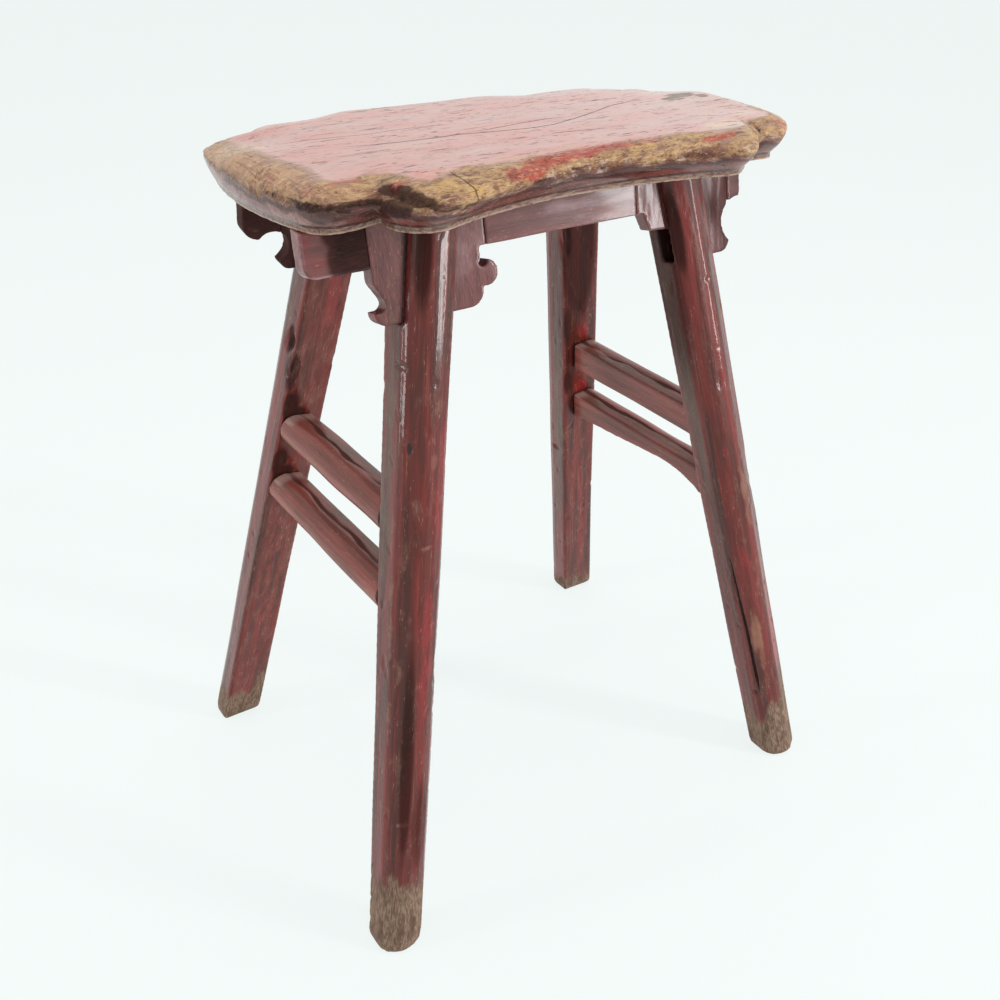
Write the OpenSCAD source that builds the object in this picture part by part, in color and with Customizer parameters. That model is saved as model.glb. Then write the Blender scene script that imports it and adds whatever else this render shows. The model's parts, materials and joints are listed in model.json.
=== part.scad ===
// A joined wooden stool: one lobed seat plank on four legs that splay both ways.
// Each leg is slotted at the top and clasps a fretted board that leans with it.
// X runs along the seat, the front is -Y, and Z = 0 is the floor.

/* [Seat] */
// Height of the seat top above the floor
stool_h = 505; // [460:1:560]
// Thickness of the seat plank
seat_t = 28.5; // [24:0.5:36]
// Half length of the seat, measured on its underside
seat_half_l = 183; // [172:1:205]
// Half width of the seat at its waist, on the underside
waist_half_w = 82; // [78:1:88]
// Half width of the seat at its end lobes, on the underside
end_half_w = 77; // [72:1:82]
// Radius of the long shallow curve of each seat end
end_r = 240; // [200:5:400]
// Radius of the corners of the end lobes
end_corner_r = 16; // [12:1:22]
// Radius of the curve that leads from the corner into the notch
shoulder_r = 60; // [45:1:80]
// Distance of the side lobes from the ends of the seat
lobe_inset = 73; // [68:1:78]
// Half width of the seat at its side lobes, on the underside
lobe_half_w = 103; // [96:1:110]
// How much shorter the front right lobe is carved
lobe_short = 5; // [0:0.5:6]
// Radius of the side lobes
lobe_r = 22; // [18:1:26]
// How far the moulded edge flares out over the underside
edge_flare = 12; // [8:0.5:15]
// Height of the small bead that runs round the bottom of the edge
bead_h = 4.5; // [3:0.5:6]
// Step between the bead and the face above it
bead_step = 1.8; // [1:0.1:3]
// Height of the worn round at the top of the edge
arris_h = 12; // [6:0.5:14]
// Width of the worn round at the top of the edge
arris_w = 20; // [12:0.5:24]
// How much less the edge flares out at the left end of the seat
left_tuck = 6.5; // [0:0.5:8]
// How much less the edge flares out at the right end of the seat
right_tuck = 1; // [0:0.5:8]
// How far inside the line of the waist the flat top of the worn lobes ends
lobe_worn = 4; // [0:0.5:8]

/* [Legs] */
// Distance of the leg centre from the end of the seat, under the seat
leg_inset_x = 90.8; // [86:0.2:96]
// Distance of the leg centre from the side of the waist, under the seat
leg_inset_y = 25.5; // [22:0.5:30]
// Splay of the legs along the seat, in degrees
splay_x = 10.6; // [8:0.1:13]
// Splay of the legs across the seat, in degrees
splay_y = 10.7; // [8:0.1:13]
// Width of the leg along the seat, at the top
leg_top_w = 35; // [31:0.5:39]
// Width of the leg along the seat, at the foot
leg_foot_w = 33; // [28:0.5:38]
// Depth of the leg across the seat, at the top
leg_top_d = 35; // [32:0.5:39]
// Depth of the leg across the seat, at the foot
leg_foot_d = 28.5; // [26:0.5:36]
// Depth of the rounded outer face of the leg
leg_round = 12.5; // [8:0.5:14]
// Worn bevel round the foot
foot_bevel = 2.5; // [1:0.5:4]
// Thickness of each of the twin tenons at the top of the leg
twin_tenon_t = 7; // [5:0.5:8]
// Width of the twin tenons along the seat
twin_tenon_w = 18; // [14:1:20]
// Length of the twin tenons in the seat
twin_tenon_l = 16; // [12:1:19]

/* [Fretted boards and aprons] */
// Thickness of the boards
board_t = 11; // [9:0.5:12]
// Height of the front fretted boards, along their own lean
board_h = 62; // [58:0.5:68]
// Height of the back fretted boards, which are cut a little longer
back_board_h = 65; // [60:0.5:70]
// Height of the aprons, along their lean
apron_h = 26.5; // [24:0.5:28]
// Top part of the fretted board, outwards from the leg centre
board_out = 43.8; // [40:0.2:46]
// Top part of the fretted board, inwards from the leg centre
board_in = 34.2; // [32:0.2:36]
// Edge of the throat under the apron, inwards from the leg centre
throat_in = 29.2; // [28:0.2:30]
// Radius of the cove that is cut between the tab and the hook
cove_r = 15.4; // [14:0.2:16]
// Centre of the cove, outwards from the leg centre
cove_out = 54.2; // [53:0.2:56]
// Depth of the cove's centre under the seat
cove_drop = 41.8; // [40.6:0.2:43]
// Radius of the smaller cove of the back boards
back_cove_r = 12; // [11:0.2:13]
// Centre of the back cove, outwards from the leg centre
back_cove_out = 50.2; // [49:0.2:52]
// Depth of the back cove's centre under the seat
back_cove_drop = 48.2; // [47:0.2:49]
// Neck of the left front board over its hook, outwards from the leg centre
neck_out = 37; // [35:0.5:39]
// Radius of the tight round at that neck
neck_r = 4; // [3:0.5:5]
// Radius of the hook at the bottom of the board
hook_r = 8; // [7:0.5:9]
// Centre of the hook, outwards from the leg centre
hook_out = 37; // [35:0.2:39]
// Radius of the upper curl on the inner side
curl_r = 8; // [7:0.5:9]
// Centre of the upper curl, inwards from the leg centre
curl_in = 32.7; // [31:0.1:34]
// Depth of the upper curl's centre under the seat
curl_drop = 42.8; // [42:0.1:44]
// Radius of the lower curl on the inner side
heel_r = 9.8; // [8.5:0.1:11]
// Centre of the lower curl, inwards from the leg centre
heel_in = 19.9; // [19:0.1:21]
// Radius of the small round eye over the upper curl
eye_r = 3; // [2:0.5:3.5]
// Centre of the eye, inwards from the leg centre
eye_in = 31; // [30.5:0.1:31.5]
// Depth of the eye's centre under the seat
eye_drop = 35.8; // [35:0.1:36.5]
// End of the left front tab, outwards from the leg centre
tab_left = 84.3; // [70:0.1:88]
// End of the right front tab, which is shorter
tab_right = 55.8; // [52:0.1:80]
// End of the two back tabs
tab_back = 70.5; // [66:0.5:80]
// How much deeper than the aprons the front tabs hang
front_tab_drop = 1.6; // [0:0.2:3]
// How much deeper than the aprons the back tabs hang
back_tab_drop = 13.5; // [10:0.5:15]
// Corner radius of the left front tab
tab_corner_r = 8; // [4:0.5:10]
// Corner radius of the short right front tab
short_tab_corner_r = 5; // [3:0.5:6]
// Corner radius of the back tabs
back_tab_corner_r = 12; // [8:1:16]
// Length of the tongues that join the aprons and tabs to the boards
tongue_l = 6; // [4:0.5:8]
// Thickness of the tongues
tongue_t = 4; // [3:0.5:5]
// Plain wood over and under each tongue
tongue_margin = 4.5; // [3:0.5:7]

/* [Stretchers] */
// Height of the middle of the upper stretchers above the floor
upper_z = 288.5; // [270:0.5:330]
// Height of the middle of the lower stretchers above the floor
lower_z = 238; // [180:1:245]
// Height of a stretcher
rail_h = 24; // [18:1:28]
// Width of a stretcher along the seat
rail_w = 24; // [20:1:26]
// How far the stretchers lie inside the outer side of the legs
rail_setback = 0.3; // [0.2:0.1:3]
// Length of the stretcher tenons in the legs
rail_tenon_l = 19; // [14:1:22]
// Thickness of the stretcher tenons along the seat
rail_tenon_t = 10; // [7:0.5:12]
// Height of the stretcher tenons
rail_tenon_h = 15; // [10:0.5:17]
// Depth that feet have worn into the upper right stretcher
foot_wear = 5; // [1:0.5:6]
// Rise of the cut-away underside of the lower right stretcher
belly_rise = 10; // [4:0.5:11]

/* [Fits] */
// Clearance all round the tenons, tongues and boards
fit = 0.1; // [0.05:0.05:0.2]
// Free depth past the end of a tenon or a tongue
relief = 0.6; // [0.3:0.1:1]

/* [Hidden] */
$fn = 64;

lacquer = "#7a3534";
worn_red = "#b05a50";
dark_wood = "#5a3530";
seat_z = stool_h - seat_t;
lobe_x = seat_half_l - lobe_inset;
leg_top_x = seat_half_l - leg_inset_x;
leg_top_y = waist_half_w - leg_inset_y;
over = 1;         // overlap of cutting tools past what they cut
far = 200;        // longer than any cut needs
cheek = 1.2;      // wood between the slot in a leg and each of its twin tenons
spare = 6;        // height of the boards that is cut off flush under the seat
leg_arris = 1.5;  // bevel on the two square corners of a leg

// The leg axis, its width and its depth at height z, in the +X +Y quarter
function leg_x(z) = leg_top_x + (seat_z - z) * tan(splay_x);
function leg_y(z) = leg_top_y + (seat_z - z) * tan(splay_y);
function leg_w(z) = leg_foot_w + (leg_top_w - leg_foot_w) * z / seat_z;
function leg_d(z) = leg_foot_d + (leg_top_d - leg_foot_d) * z / seat_z;
function leg_inner_y(z) = leg_y(z) - leg_d(z) / 2;

// Points of an arc about c, without its last point, so that arcs can be chained
function arc(c, r, from, to, steps) =
    [for (i = [0 : steps - 1])
        let (a = from + (to - from) * i / steps)
        c + r * [cos(a), sin(a)]];

// Centres of the seat outline's arcs, in the +X +Y quarter
end_c = [seat_half_l - end_r, 0];
corner_y = end_half_w - end_corner_r;
corner_c = [end_c.x + sqrt(pow(end_r - end_corner_r, 2) - pow(corner_y, 2)), corner_y];
shoulder_c = [corner_c.x, end_half_w - shoulder_r];

// The lobe's centre, and the radius of the waist curve that flows out of the lobe
function lobe_c(reach) = [lobe_x, reach - lobe_r];
function waist_r(reach) =
    let (gap = waist_half_w - lobe_c(reach).y)
    (pow(lobe_x, 2) + pow(gap, 2) - pow(lobe_r, 2)) / (2 * (lobe_r - gap));

function direction(v) = atan2(v.y, v.x);
function unit(v) = v / norm(v);

// The notch: the outer crossing of the shoulder arc and the lobe arc, both grown by d,
// or a point between the two arcs where they don't quite meet
function notch(d, reach) =
    let (c = lobe_c(reach), v = shoulder_c - c, l = norm(v),
         along = (pow(lobe_r + d, 2) - pow(shoulder_r + d, 2) + l * l) / (2 * l),
         aside = sqrt(max(pow(lobe_r + d, 2) - along * along, 0.25)),
         u = unit(v))
    c + along * u + aside * [-u.y, u.x];

// One quarter of the outline, grown outwards by d, from the end to the waist.
// Drawn in by a negative d, the notch becomes a round of that radius.
function quarter(d, reach) =
    let (n = notch(max(d, 0), reach), lobe = lobe_c(reach),
         waist = [0, waist_half_w + waist_r(reach)],
         end_a = direction(corner_c - end_c),
         waist_a = direction(waist - lobe),
         out_a = unit(n - shoulder_c), out_b = unit(n - lobe),
         trim = d < 0 ? 0 : 1)
    concat(arc(end_c, end_r + d, 0, end_a, 5),
           arc(corner_c, end_corner_r + d, end_a, 90, 6),
           arc(shoulder_c, shoulder_r + d, 90, direction(out_a) - trim, 5),
           [shoulder_c + (shoulder_r + d) * turned(out_a, -trim),
            n + min(d, 0) * unit(out_a + out_b)],
           arc(lobe, lobe_r + d, direction(out_b) + 2 * trim, waist_a, 12),
           arc(waist, waist_r(reach) - d, waist_a - 180, -90, 7),
           [[0, waist_half_w + d]]);

function turned(v, a) = [v.x * cos(a) - v.y * sin(a), v.x * sin(a) + v.y * cos(a)];

function backwards(list) = [for (i = [len(list) - 1 : -1 : 0]) list[i]];
function without_ends(list) = [for (i = [1 : len(list) - 2]) list[i]];

// The lobes are worn down from their tips to just inside the waist, where a share of
// their curve is left
lobe_tip = lobe_half_w + edge_flare;
worn_half_w = waist_half_w - lobe_worn;
curve_left = 0.15;
function worn(list, wear) =
    let (limit = lobe_tip - (lobe_tip - worn_half_w) * wear)
    [for (p = list) [p.x, p.y > limit ? limit + (p.y - limit) * curve_left : p.y]];

// Draws the ends of the seat in, where the edge flares out less than at the sides
function tucked(p, share) =
    let (end_tuck = p.x < 0 ? left_tuck : right_tuck)
    [p.x * (1 - end_tuck * share * pow(abs(p.x) / seat_half_l, 3) / seat_half_l), p.y];

// The whole outline, anticlockwise from the right end; the lobe in front on the right
// is carved shorter and isn't worn down
function outline(d, tuck, wear) =
    let (q = worn(quarter(d, lobe_half_w), wear), short = quarter(d, lobe_half_w - lobe_short),
         whole = concat(q,
                        backwards([for (p = without_ends(q)) [-p.x, p.y]]),
                        [for (p = q) [-p.x, -p.y]],
                        backwards([for (p = without_ends(short)) [p.x, -p.y]])))
    [for (p = whole) tucked(p, tuck)];

// The edge in section, going up from just under the seat:
// [growth of the outline, height, share of the tuck, share of the wear]
flare_z = seat_t - arris_h;
flare_steps = 3;
arris_steps = 6;
edge = concat(
    [[0, -over, 0, 0], [0, bead_h, 0, 0]],
    [for (i = [0 : flare_steps - 1])
        let (t = i / flare_steps, rise = (t + sin(90 * t)) / 2, z = bead_h + bead_step / 4)
        [bead_step + (edge_flare - bead_step) * rise, z + (flare_z - z) * t, rise, 0]],
    [for (i = [0 : arris_steps])
        let (a = 90 * i / arris_steps)
        [edge_flare - arris_w * (1 - cos(a)), flare_z + arris_h * sin(a), 1, pow(sin(a), 2)]]);

// A closed solid from rings of points that all have the same count
module loft(rings) {
    n = len(rings[0]);
    last = len(rings) - 1;
    points = [for (ring = rings) each ring];
    sides = [for (k = [0 : last - 1], i = [0 : n - 1])
        let (j = (i + 1) % n)
        each [[k * n + i, (k + 1) * n + j, k * n + j],
              [k * n + i, (k + 1) * n + i, (k + 1) * n + j]]];
    caps = [[for (i = [0 : n - 1]) i], [for (i = [n - 1 : -1 : 0]) last * n + i]];
    polyhedron(points = points, faces = concat(sides, caps));
}

// Puts a piece of the +X +Y quarter into the quarter that is named
module corner(right, back)
    mirror([right ? 0 : 1, 0, 0]) mirror([0, back ? 0 : 1, 0]) children();

// The twin tenons of one leg, or with gap and extra the mortises for them
module twin_tenons(gap = 0, extra = 0) {
    offset_y = (board_t / 2 + fit) / cos(splay_y) + cheek + twin_tenon_t / 2;
    for (s = [-1, 1])
        translate([leg_top_x, leg_top_y + s * offset_y, seat_z])
            translate([-twin_tenon_w / 2 - gap, -twin_tenon_t / 2 - gap, -gap])
                cube([twin_tenon_w + 2 * gap, twin_tenon_t + 2 * gap, twin_tenon_l + gap + extra]);
}

module seat_plank() {
    difference() {
        loft([for (e = edge) [for (p = outline(e[0], e[2], e[3])) [p.x, p.y, seat_z + e[1]]]]);
        // the underside is planed flat
        translate([-far - far / 2, -far, seat_z - 2 * over]) cube([3 * far, 2 * far, 2 * over]);
        for (right = [false, true], back = [false, true])
            corner(right, back) twin_tenons(fit, relief);
    }
}

// Level section of a leg at height z, drawn in by inset: flat inside, round outside
function leg_section(z, inset) =
    let (w = leg_w(z) / 2 - inset, d = leg_d(z) / 2 - inset, flank = d - leg_round,
         bevel = leg_arris, steps = 16)
    concat([[-w, -d + bevel], [-w + bevel, -d], [w - bevel, -d], [w, -d + bevel]],
           [for (i = [0 : steps])
               let (a = 180 * i / steps)
               [w * cos(a), flank + leg_round * sin(a)]]);

function leg_ring(z, inset) =
    [for (p = leg_section(z, inset)) [p.x + leg_x(z), p.y + leg_y(z), z]];

// Stands an outline drawn along X and up from the seat's underside in the board's plane
module in_board_plane(thickness)
    translate([0, leg_top_y, seat_z]) rotate([splay_y + 90, 0, 0])
        linear_extrude(thickness, center = true) children();

// The long bar of tenon that runs along Y at height z, gap wider all round
module rail_tenon(z, gap, extra)
    translate([leg_x(z), 0, z]) rotate([0, -splay_x, 0])
        cube([rail_tenon_t + 2 * gap, 2 * (leg_inner_y(z) + rail_tenon_l + extra),
              rail_tenon_h + 2 * gap], center = true);

// A leg with a slot for a board of height h
module leg(h) {
    difference() {
        loft([leg_ring(0, foot_bevel), leg_ring(foot_bevel, 0), leg_ring(seat_z, 0)]);
        in_board_plane(board_t + 2 * fit)
            translate([leg_top_x - far / 2, -h]) square([far, far]);
        for (z = [lower_z, upper_z]) rail_tenon(z, fit, relief);
    }
    twin_tenons();
}

// Removes what stands above the seat's underside
module under_seat() {
    difference() {
        children();
        translate([-far, -far, seat_z]) cube([2 * far, 2 * far, far]);
    }
}

// Upright part of a board of height h, under the apron it is cut back to the throat
module board_body(h) {
    translate([leg_top_x - board_in, -apron_h]) square([board_in + board_out, apron_h + spare]);
    translate([leg_top_x - throat_in, -h + heel_r])
        square([throat_in + board_out, h - heel_r - apron_h + over]);
    translate([leg_top_x - heel_in, -h]) square([heel_in + hook_out, heel_r + over]);
}

// The three cuts between a tab and the hook under it
module cove() translate([leg_top_x + cove_out, -cove_drop]) circle(cove_r);
module back_cove() translate([leg_top_x + back_cove_out, -back_cove_drop]) circle(back_cove_r);

// The left front board is cut along a slope, down to a tight round over its hook
slope_out = 49;
slope_lean = 32;
hook_top = 9;
module slope_cut() {
    top = -apron_h - front_tab_drop;
    centre = [neck_out + neck_r, -board_h + hook_top + neck_r];
    translate([leg_top_x, 0])
        polygon(concat([[slope_out, top]], arc(centre, neck_r, 180 - slope_lean, 270, 6),
                       [[centre.x, centre.y - neck_r], [board_out + hook_r, centre.y - neck_r],
                        [board_out + hook_r, top]]));
}

// The outline of a board of height h: hook outside the leg, two curls inside it.
// The child is the cut between the tab and the hook.
module board_outline(h) {
    difference() {
        union() {
            board_body(h);
            translate([leg_top_x + hook_out, -h + hook_r]) circle(hook_r);
            translate([leg_top_x - heel_in, -h + heel_r]) circle(heel_r);
            translate([leg_top_x - curl_in, -curl_drop]) circle(curl_r);
        }
        children();
        translate([leg_top_x - eye_in, -eye_drop]) circle(eye_r);
    }
}

// What is left of the front outline where the inner curls have broken off
break_drop = 38.5;
module broken_outline() {
    difference() {
        board_outline(board_h) cove();
        polygon([[leg_top_x - throat_in, -apron_h], [leg_top_x - throat_in + 5, -break_drop],
                 [leg_top_x - 10, -break_drop - 0.6], [leg_top_x + 2, -break_drop - 2.5],
                 [leg_top_x + 7, -break_drop - 10], [leg_top_x + 5, -board_h - over],
                 [leg_top_x - far / 2, -board_h - over], [leg_top_x - far / 2, -apron_h]]);
    }
}

// Tongue at the edge x of an apron or tab, or with gap and extra its groove
module tongue(x, towards, gap = 0, extra = 0) {
    l = tongue_l + extra;
    in_board_plane(tongue_t + 2 * gap)
        translate([towards > 0 ? x - over : x - l, -apron_h + tongue_margin - gap])
            square([l + over, apron_h - 2 * tongue_margin + 2 * gap]);
}

// A fretted board with its two grooves; the child is its outline
module spandrel() {
    under_seat() difference() {
        in_board_plane(board_t) children();
        tongue(leg_top_x - board_in, 1, fit, relief);
        tongue(leg_top_x + board_out, -1, fit, relief);
    }
}

module apron() {
    edge_x = leg_top_x - board_in;
    under_seat() union() {
        in_board_plane(board_t)
            translate([-edge_x, -apron_h]) square([2 * edge_x, apron_h + spare]);
        tongue(edge_x, 1);
        mirror([1, 0, 0]) tongue(edge_x, 1);
    }
}

// A tab whose end is at reach from the leg centre, with one round corner.
// The child is the cut under it.
module tab(reach, drop, corner_r) {
    start = leg_top_x + board_out;
    end = leg_top_x + reach;
    h = apron_h + drop;
    under_seat() union() {
        in_board_plane(board_t) difference() {
            union() {
                translate([start, -h]) square([end - corner_r - start, h + spare]);
                translate([start, -h + corner_r]) square([end - start, h - corner_r + spare]);
                translate([end - corner_r, -h + corner_r]) circle(corner_r);
            }
            children();
        }
        tongue(start, -1);
    }
}

// Stretcher section: flat inside and on top, half round outside
module rail_section(z) {
    outer = leg_w(z) / 2 - rail_setback;
    round_r = rail_h / 2;
    translate([outer - round_r, 0]) circle(round_r);
    translate([outer - rail_w, -rail_h / 2]) square([rail_w - round_r, rail_h]);
}

// Everything between the inner faces of the front and back legs, near height z
module between_legs(z) {
    low = z - 2 * rail_h;
    high = z + 2 * rail_h;
    translate([leg_x(z), 0, 0]) rotate([90, 0, 90])
        linear_extrude(3 * rail_w, center = true)
            polygon([[-leg_inner_y(low), low], [leg_inner_y(low), low],
                     [leg_inner_y(high), high], [-leg_inner_y(high), high]]);
}

module rail_body(z) {
    translate([leg_x(z), 0, z]) rotate([0, -splay_x, 0]) rotate([90, 0, 0])
        linear_extrude(2 * leg_y(0), center = true) rail_section(z);
}

module rail(z) {
    intersection() {
        rail_body(z);
        between_legs(z);
    }
    rail_tenon(z, 0, 0);
}

// The upper right stretcher: its outer top edge is worn hollow by feet
wear_r = 330;
module worn_rail(z) {
    difference() {
        rail(z);
        intersection() {
            translate([leg_x(z) + leg_w(z) / 2, 0, z + rail_h / 2]) rotate([0, 40, 0])
                translate([0, 0, wear_r - foot_wear])
                    rotate([0, 90, 0]) cylinder(r = wear_r, h = 3 * rail_w, center = true, $fn = 180);
            between_legs(z);
        }
    }
}

// The lower right stretcher: cut away underneath, deepest towards the front leg
belly_y = -33;
belly_r = 80;
module cut_rail(z) {
    top = z - rail_h / 2 + belly_rise;
    back = leg_inner_y(z) - 2;
    difference() {
        rail(z);
        intersection() {
            between_legs(z);
            translate([leg_x(z), 0, 0]) rotate([90, 0, 90])
                linear_extrude(3 * rail_w, center = true) {
                    translate([belly_y, top - belly_r]) circle(belly_r, $fn = 180);
                    polygon([[belly_y, top], [back, z - rail_h / 2], [back, z - 2 * rail_h],
                             [belly_y, z - 2 * rail_h]]);
                }
        }
    }
}

module seat() { color(worn_red) seat_plank(); }
module leg_front_left() { color(lacquer) corner(false, false) leg(board_h); }
module leg_front_right() { color(lacquer) corner(true, false) leg(board_h); }
module leg_back_left() { color(lacquer) corner(false, true) leg(back_board_h); }
module leg_back_right() { color(lacquer) corner(true, true) leg(back_board_h); }
module spandrel_front_left() {
    color(dark_wood) corner(false, false) spandrel() board_outline(board_h) slope_cut();
}
module spandrel_front_right() { color(dark_wood) corner(true, false) spandrel() broken_outline(); }
module spandrel_back_left() {
    color(dark_wood) corner(false, true) spandrel() board_outline(back_board_h) back_cove();
}
module spandrel_back_right() {
    color(dark_wood) corner(true, true) spandrel() board_outline(back_board_h) back_cove();
}
module apron_front() { color(lacquer) corner(true, false) apron(); }
module apron_back() { color(lacquer) corner(true, true) apron(); }
module tab_front_left() {
    color(lacquer) corner(false, false) tab(tab_left, front_tab_drop, tab_corner_r) slope_cut();
}
module tab_front_right() {
    color(lacquer) corner(true, false) tab(tab_right, front_tab_drop, short_tab_corner_r) cove();
}
module tab_back_left() {
    color(lacquer) corner(false, true) tab(tab_back, back_tab_drop, back_tab_corner_r) back_cove();
}
module tab_back_right() {
    color(lacquer) corner(true, true) tab(tab_back, back_tab_drop, back_tab_corner_r) back_cove();
}
module stretcher_left_upper() { color(lacquer) corner(false, true) rail(upper_z); }
module stretcher_left_lower() { color(lacquer) corner(false, true) rail(lower_z); }
module stretcher_right_upper() { color(lacquer) worn_rail(upper_z); }
module stretcher_right_lower() { color(lacquer) cut_rail(lower_z); }

seat();
leg_front_left();
leg_front_right();
leg_back_left();
leg_back_right();
spandrel_front_left();
spandrel_front_right();
spandrel_back_left();
spandrel_back_right();
apron_front();
apron_back();
tab_front_left();
tab_front_right();
tab_back_left();
tab_back_right();
stretcher_left_upper();
stretcher_left_lower();
stretcher_right_upper();
stretcher_right_lower();
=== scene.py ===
# %% [markdown]
# # A red lacquered stool
# This is an old joined stool of lacquered wood. One thick seat plank with a
# lobed outline stands on four legs that splay both ways. Each leg is slotted
# at the top and clasps a fretted board that leans with it, and two stretchers
# tie the legs on each short side. The solids of every piece are loaded first,
# as a fixed frame in metres. Each piece could be modelled from nothing, but
# the joints fit already, so most pieces start as a copy of their solid and are
# then worn, marked and lacquered.

# %% Load the frame
import json
import math

import bmesh
import bpy
import numpy as np
from mathutils import Matrix, Vector, noise

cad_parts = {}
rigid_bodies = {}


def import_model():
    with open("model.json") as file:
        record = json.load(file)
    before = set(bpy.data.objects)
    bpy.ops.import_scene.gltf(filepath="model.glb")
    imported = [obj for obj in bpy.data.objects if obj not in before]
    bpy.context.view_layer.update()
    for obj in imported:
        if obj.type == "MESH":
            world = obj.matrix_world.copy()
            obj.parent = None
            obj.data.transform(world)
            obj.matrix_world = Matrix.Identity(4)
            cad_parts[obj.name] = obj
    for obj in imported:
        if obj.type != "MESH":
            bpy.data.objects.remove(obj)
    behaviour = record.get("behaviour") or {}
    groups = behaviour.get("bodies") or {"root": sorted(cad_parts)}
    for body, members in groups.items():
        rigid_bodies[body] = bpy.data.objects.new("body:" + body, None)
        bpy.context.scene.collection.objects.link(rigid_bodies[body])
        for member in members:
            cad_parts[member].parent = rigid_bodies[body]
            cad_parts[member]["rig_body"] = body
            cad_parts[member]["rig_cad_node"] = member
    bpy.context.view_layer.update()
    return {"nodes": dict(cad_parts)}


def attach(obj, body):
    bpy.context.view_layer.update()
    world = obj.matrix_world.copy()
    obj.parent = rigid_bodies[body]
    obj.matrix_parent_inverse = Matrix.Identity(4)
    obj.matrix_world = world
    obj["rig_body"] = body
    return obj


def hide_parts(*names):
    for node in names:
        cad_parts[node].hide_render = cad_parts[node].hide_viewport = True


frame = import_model()
SOLIDS = frame["nodes"]

# %% [markdown]
# The camera comes first, because every choice after it is judged through it.
# Its place and lens were worked out from the rim of the seat, the legs and
# the feet in the photograph. A camera looks along its own -Z, so its matrix
# is made from the directions to the right, up and backwards.

# %% Camera
YAW, PITCH, ROLL = (math.radians(a) for a in (33.56, 30.15, 0.52))
CAMERA_PLACE = (-0.42186, -0.63242, 0.66549)
FOCAL_PIXELS, FRAME_PIXELS, SENSOR = 1151.34, 1000, 36.0

forward = Vector((math.sin(YAW) * math.cos(PITCH), math.cos(YAW) * math.cos(PITCH), -math.sin(PITCH)))
level_right = Vector((math.cos(YAW), -math.sin(YAW), 0))
level_up = level_right.cross(forward)
right = math.cos(ROLL) * level_right + math.sin(ROLL) * level_up
up = math.cos(ROLL) * level_up - math.sin(ROLL) * level_right

bpy.ops.object.camera_add()
camera = bpy.context.object
camera.name = "camera"
axes = Matrix((right, up, -forward)).transposed().to_4x4()
camera.matrix_world = Matrix.Translation(CAMERA_PLACE) @ axes
camera.data.sensor_width = SENSOR
camera.data.lens = SENSOR * FOCAL_PIXELS / FRAME_PIXELS
camera.data.clip_start = 0.01
bpy.context.scene.camera = camera
print("lens", round(camera.data.lens, 2), "mm")

# %% [markdown]
# Two small helpers keep the edit steps short. An operator acts on all that is
# selected, so `only` deselects everything and picks one object, and `apply`
# adds one modifier and applies it at once. The points of a piece are read
# and written in millimetres, because the wear is measured in them.

# %% Helpers for objects
MM = 1000  # millimetres in a metre


def only(piece):
    """Selects one object and nothing else."""
    bpy.ops.object.select_all(action="DESELECT")
    piece.select_set(True)
    bpy.context.view_layer.objects.active = piece


def apply(piece, kind, **settings):
    """Adds a modifier and applies it at once."""
    only(piece)
    modifier = piece.modifiers.new(kind.lower(), kind)
    for key, value in settings.items():
        setattr(modifier, key, value)
    bpy.ops.object.modifier_apply(modifier=modifier.name)


def vertex_rows(piece, what):
    flat = np.empty(len(piece.data.vertices) * 3)
    piece.data.vertices.foreach_get(what, flat)
    return flat.reshape(-1, 3)


def points(piece):
    return vertex_rows(piece, "co") * MM


def normals(piece):
    return vertex_rows(piece, "normal")


def set_points(piece, places):
    piece.data.vertices.foreach_set("co", (places / MM).ravel())
    piece.data.update()


# %% [markdown]
# Wood is never smooth for long. `grain_noise` gives each point of a piece a
# value near -1 to 1 from a noise that is stretched along the grain, so that
# what it moves or marks runs the way that the wood does. `ramp` fades a mark
# in between two distances, `bell` fades it out on both sides of a line, and
# `spot` is one mark at one place.

# %% Helpers for carving
NOISE_GAIN = 1.6  # spreads the noise over nearly -1 to 1
SEED_SHIFT = np.array([13.7, 5.1, 9.3])  # another seed reads another place of the noise
SPOT_CORE = 0.35  # the share of a spot's radii that has its full strength
LINE_END, LINE_WHOLE = 9, 5  # mm to the side of a line where its mark ends, and where it is whole
LINE_TIP = 0.15  # the share of a line's width that is left at its tips
OFFSET_LIMIT = 6


def grain_noise(places, size, seed):
    scale = 1 / np.asarray(size, float)
    shift = SEED_SHIFT * (seed + 1)
    return np.array([noise.noise(Vector(p)) for p in places * scale + shift]) * NOISE_GAIN


def ramp(low, high, value):
    """0 before low, 1 past high, smooth in between."""
    t = np.clip((value - low) / (high - low), 0, 1)
    return t * t * (3 - 2 * t)


def bell(offset, width):
    """1 on a line, fading to both sides as a bell does."""
    return np.exp(-(offset / width) ** 2)


def spot(places, centre, radii):
    """1 at the centre of an ellipsoid mark, fading to 0 at its edge."""
    distance = np.linalg.norm((places - np.asarray(centre, float)) / np.asarray(radii, float), axis=1)
    return 1 - ramp(SPOT_CORE, 1.0, distance)


def line_offset(run, side, path, half_width, fade):
    """How far to the side of a drawn line each point lies, in half widths of the
    line, and how near the line it is, from 0 to 1. It thins out at both ends."""
    path = np.asarray(path, float)
    middle = np.interp(run, path[:, 0], path[:, 1])
    ends = ramp(0, fade, run - path[0, 0]) * ramp(0, fade, path[-1, 0] - run)
    near = ramp(0, 0.3, ends) * ramp(LINE_END, LINE_WHOLE, np.abs(side - middle))
    width = half_width * (LINE_TIP + (1 - LINE_TIP) * ends)
    return np.clip((side - middle) / width, -OFFSET_LIMIT, OFFSET_LIMIT), near


# %% [markdown]
# What differs from place to place, such as a red patch or a bare foot, could
# be painted on a picture that is wrapped round the piece. Here it is stored on
# the points as a named attribute instead. A material reads it and adds the
# fine part of the pattern itself, so that the mark keeps a ragged edge.

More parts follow.
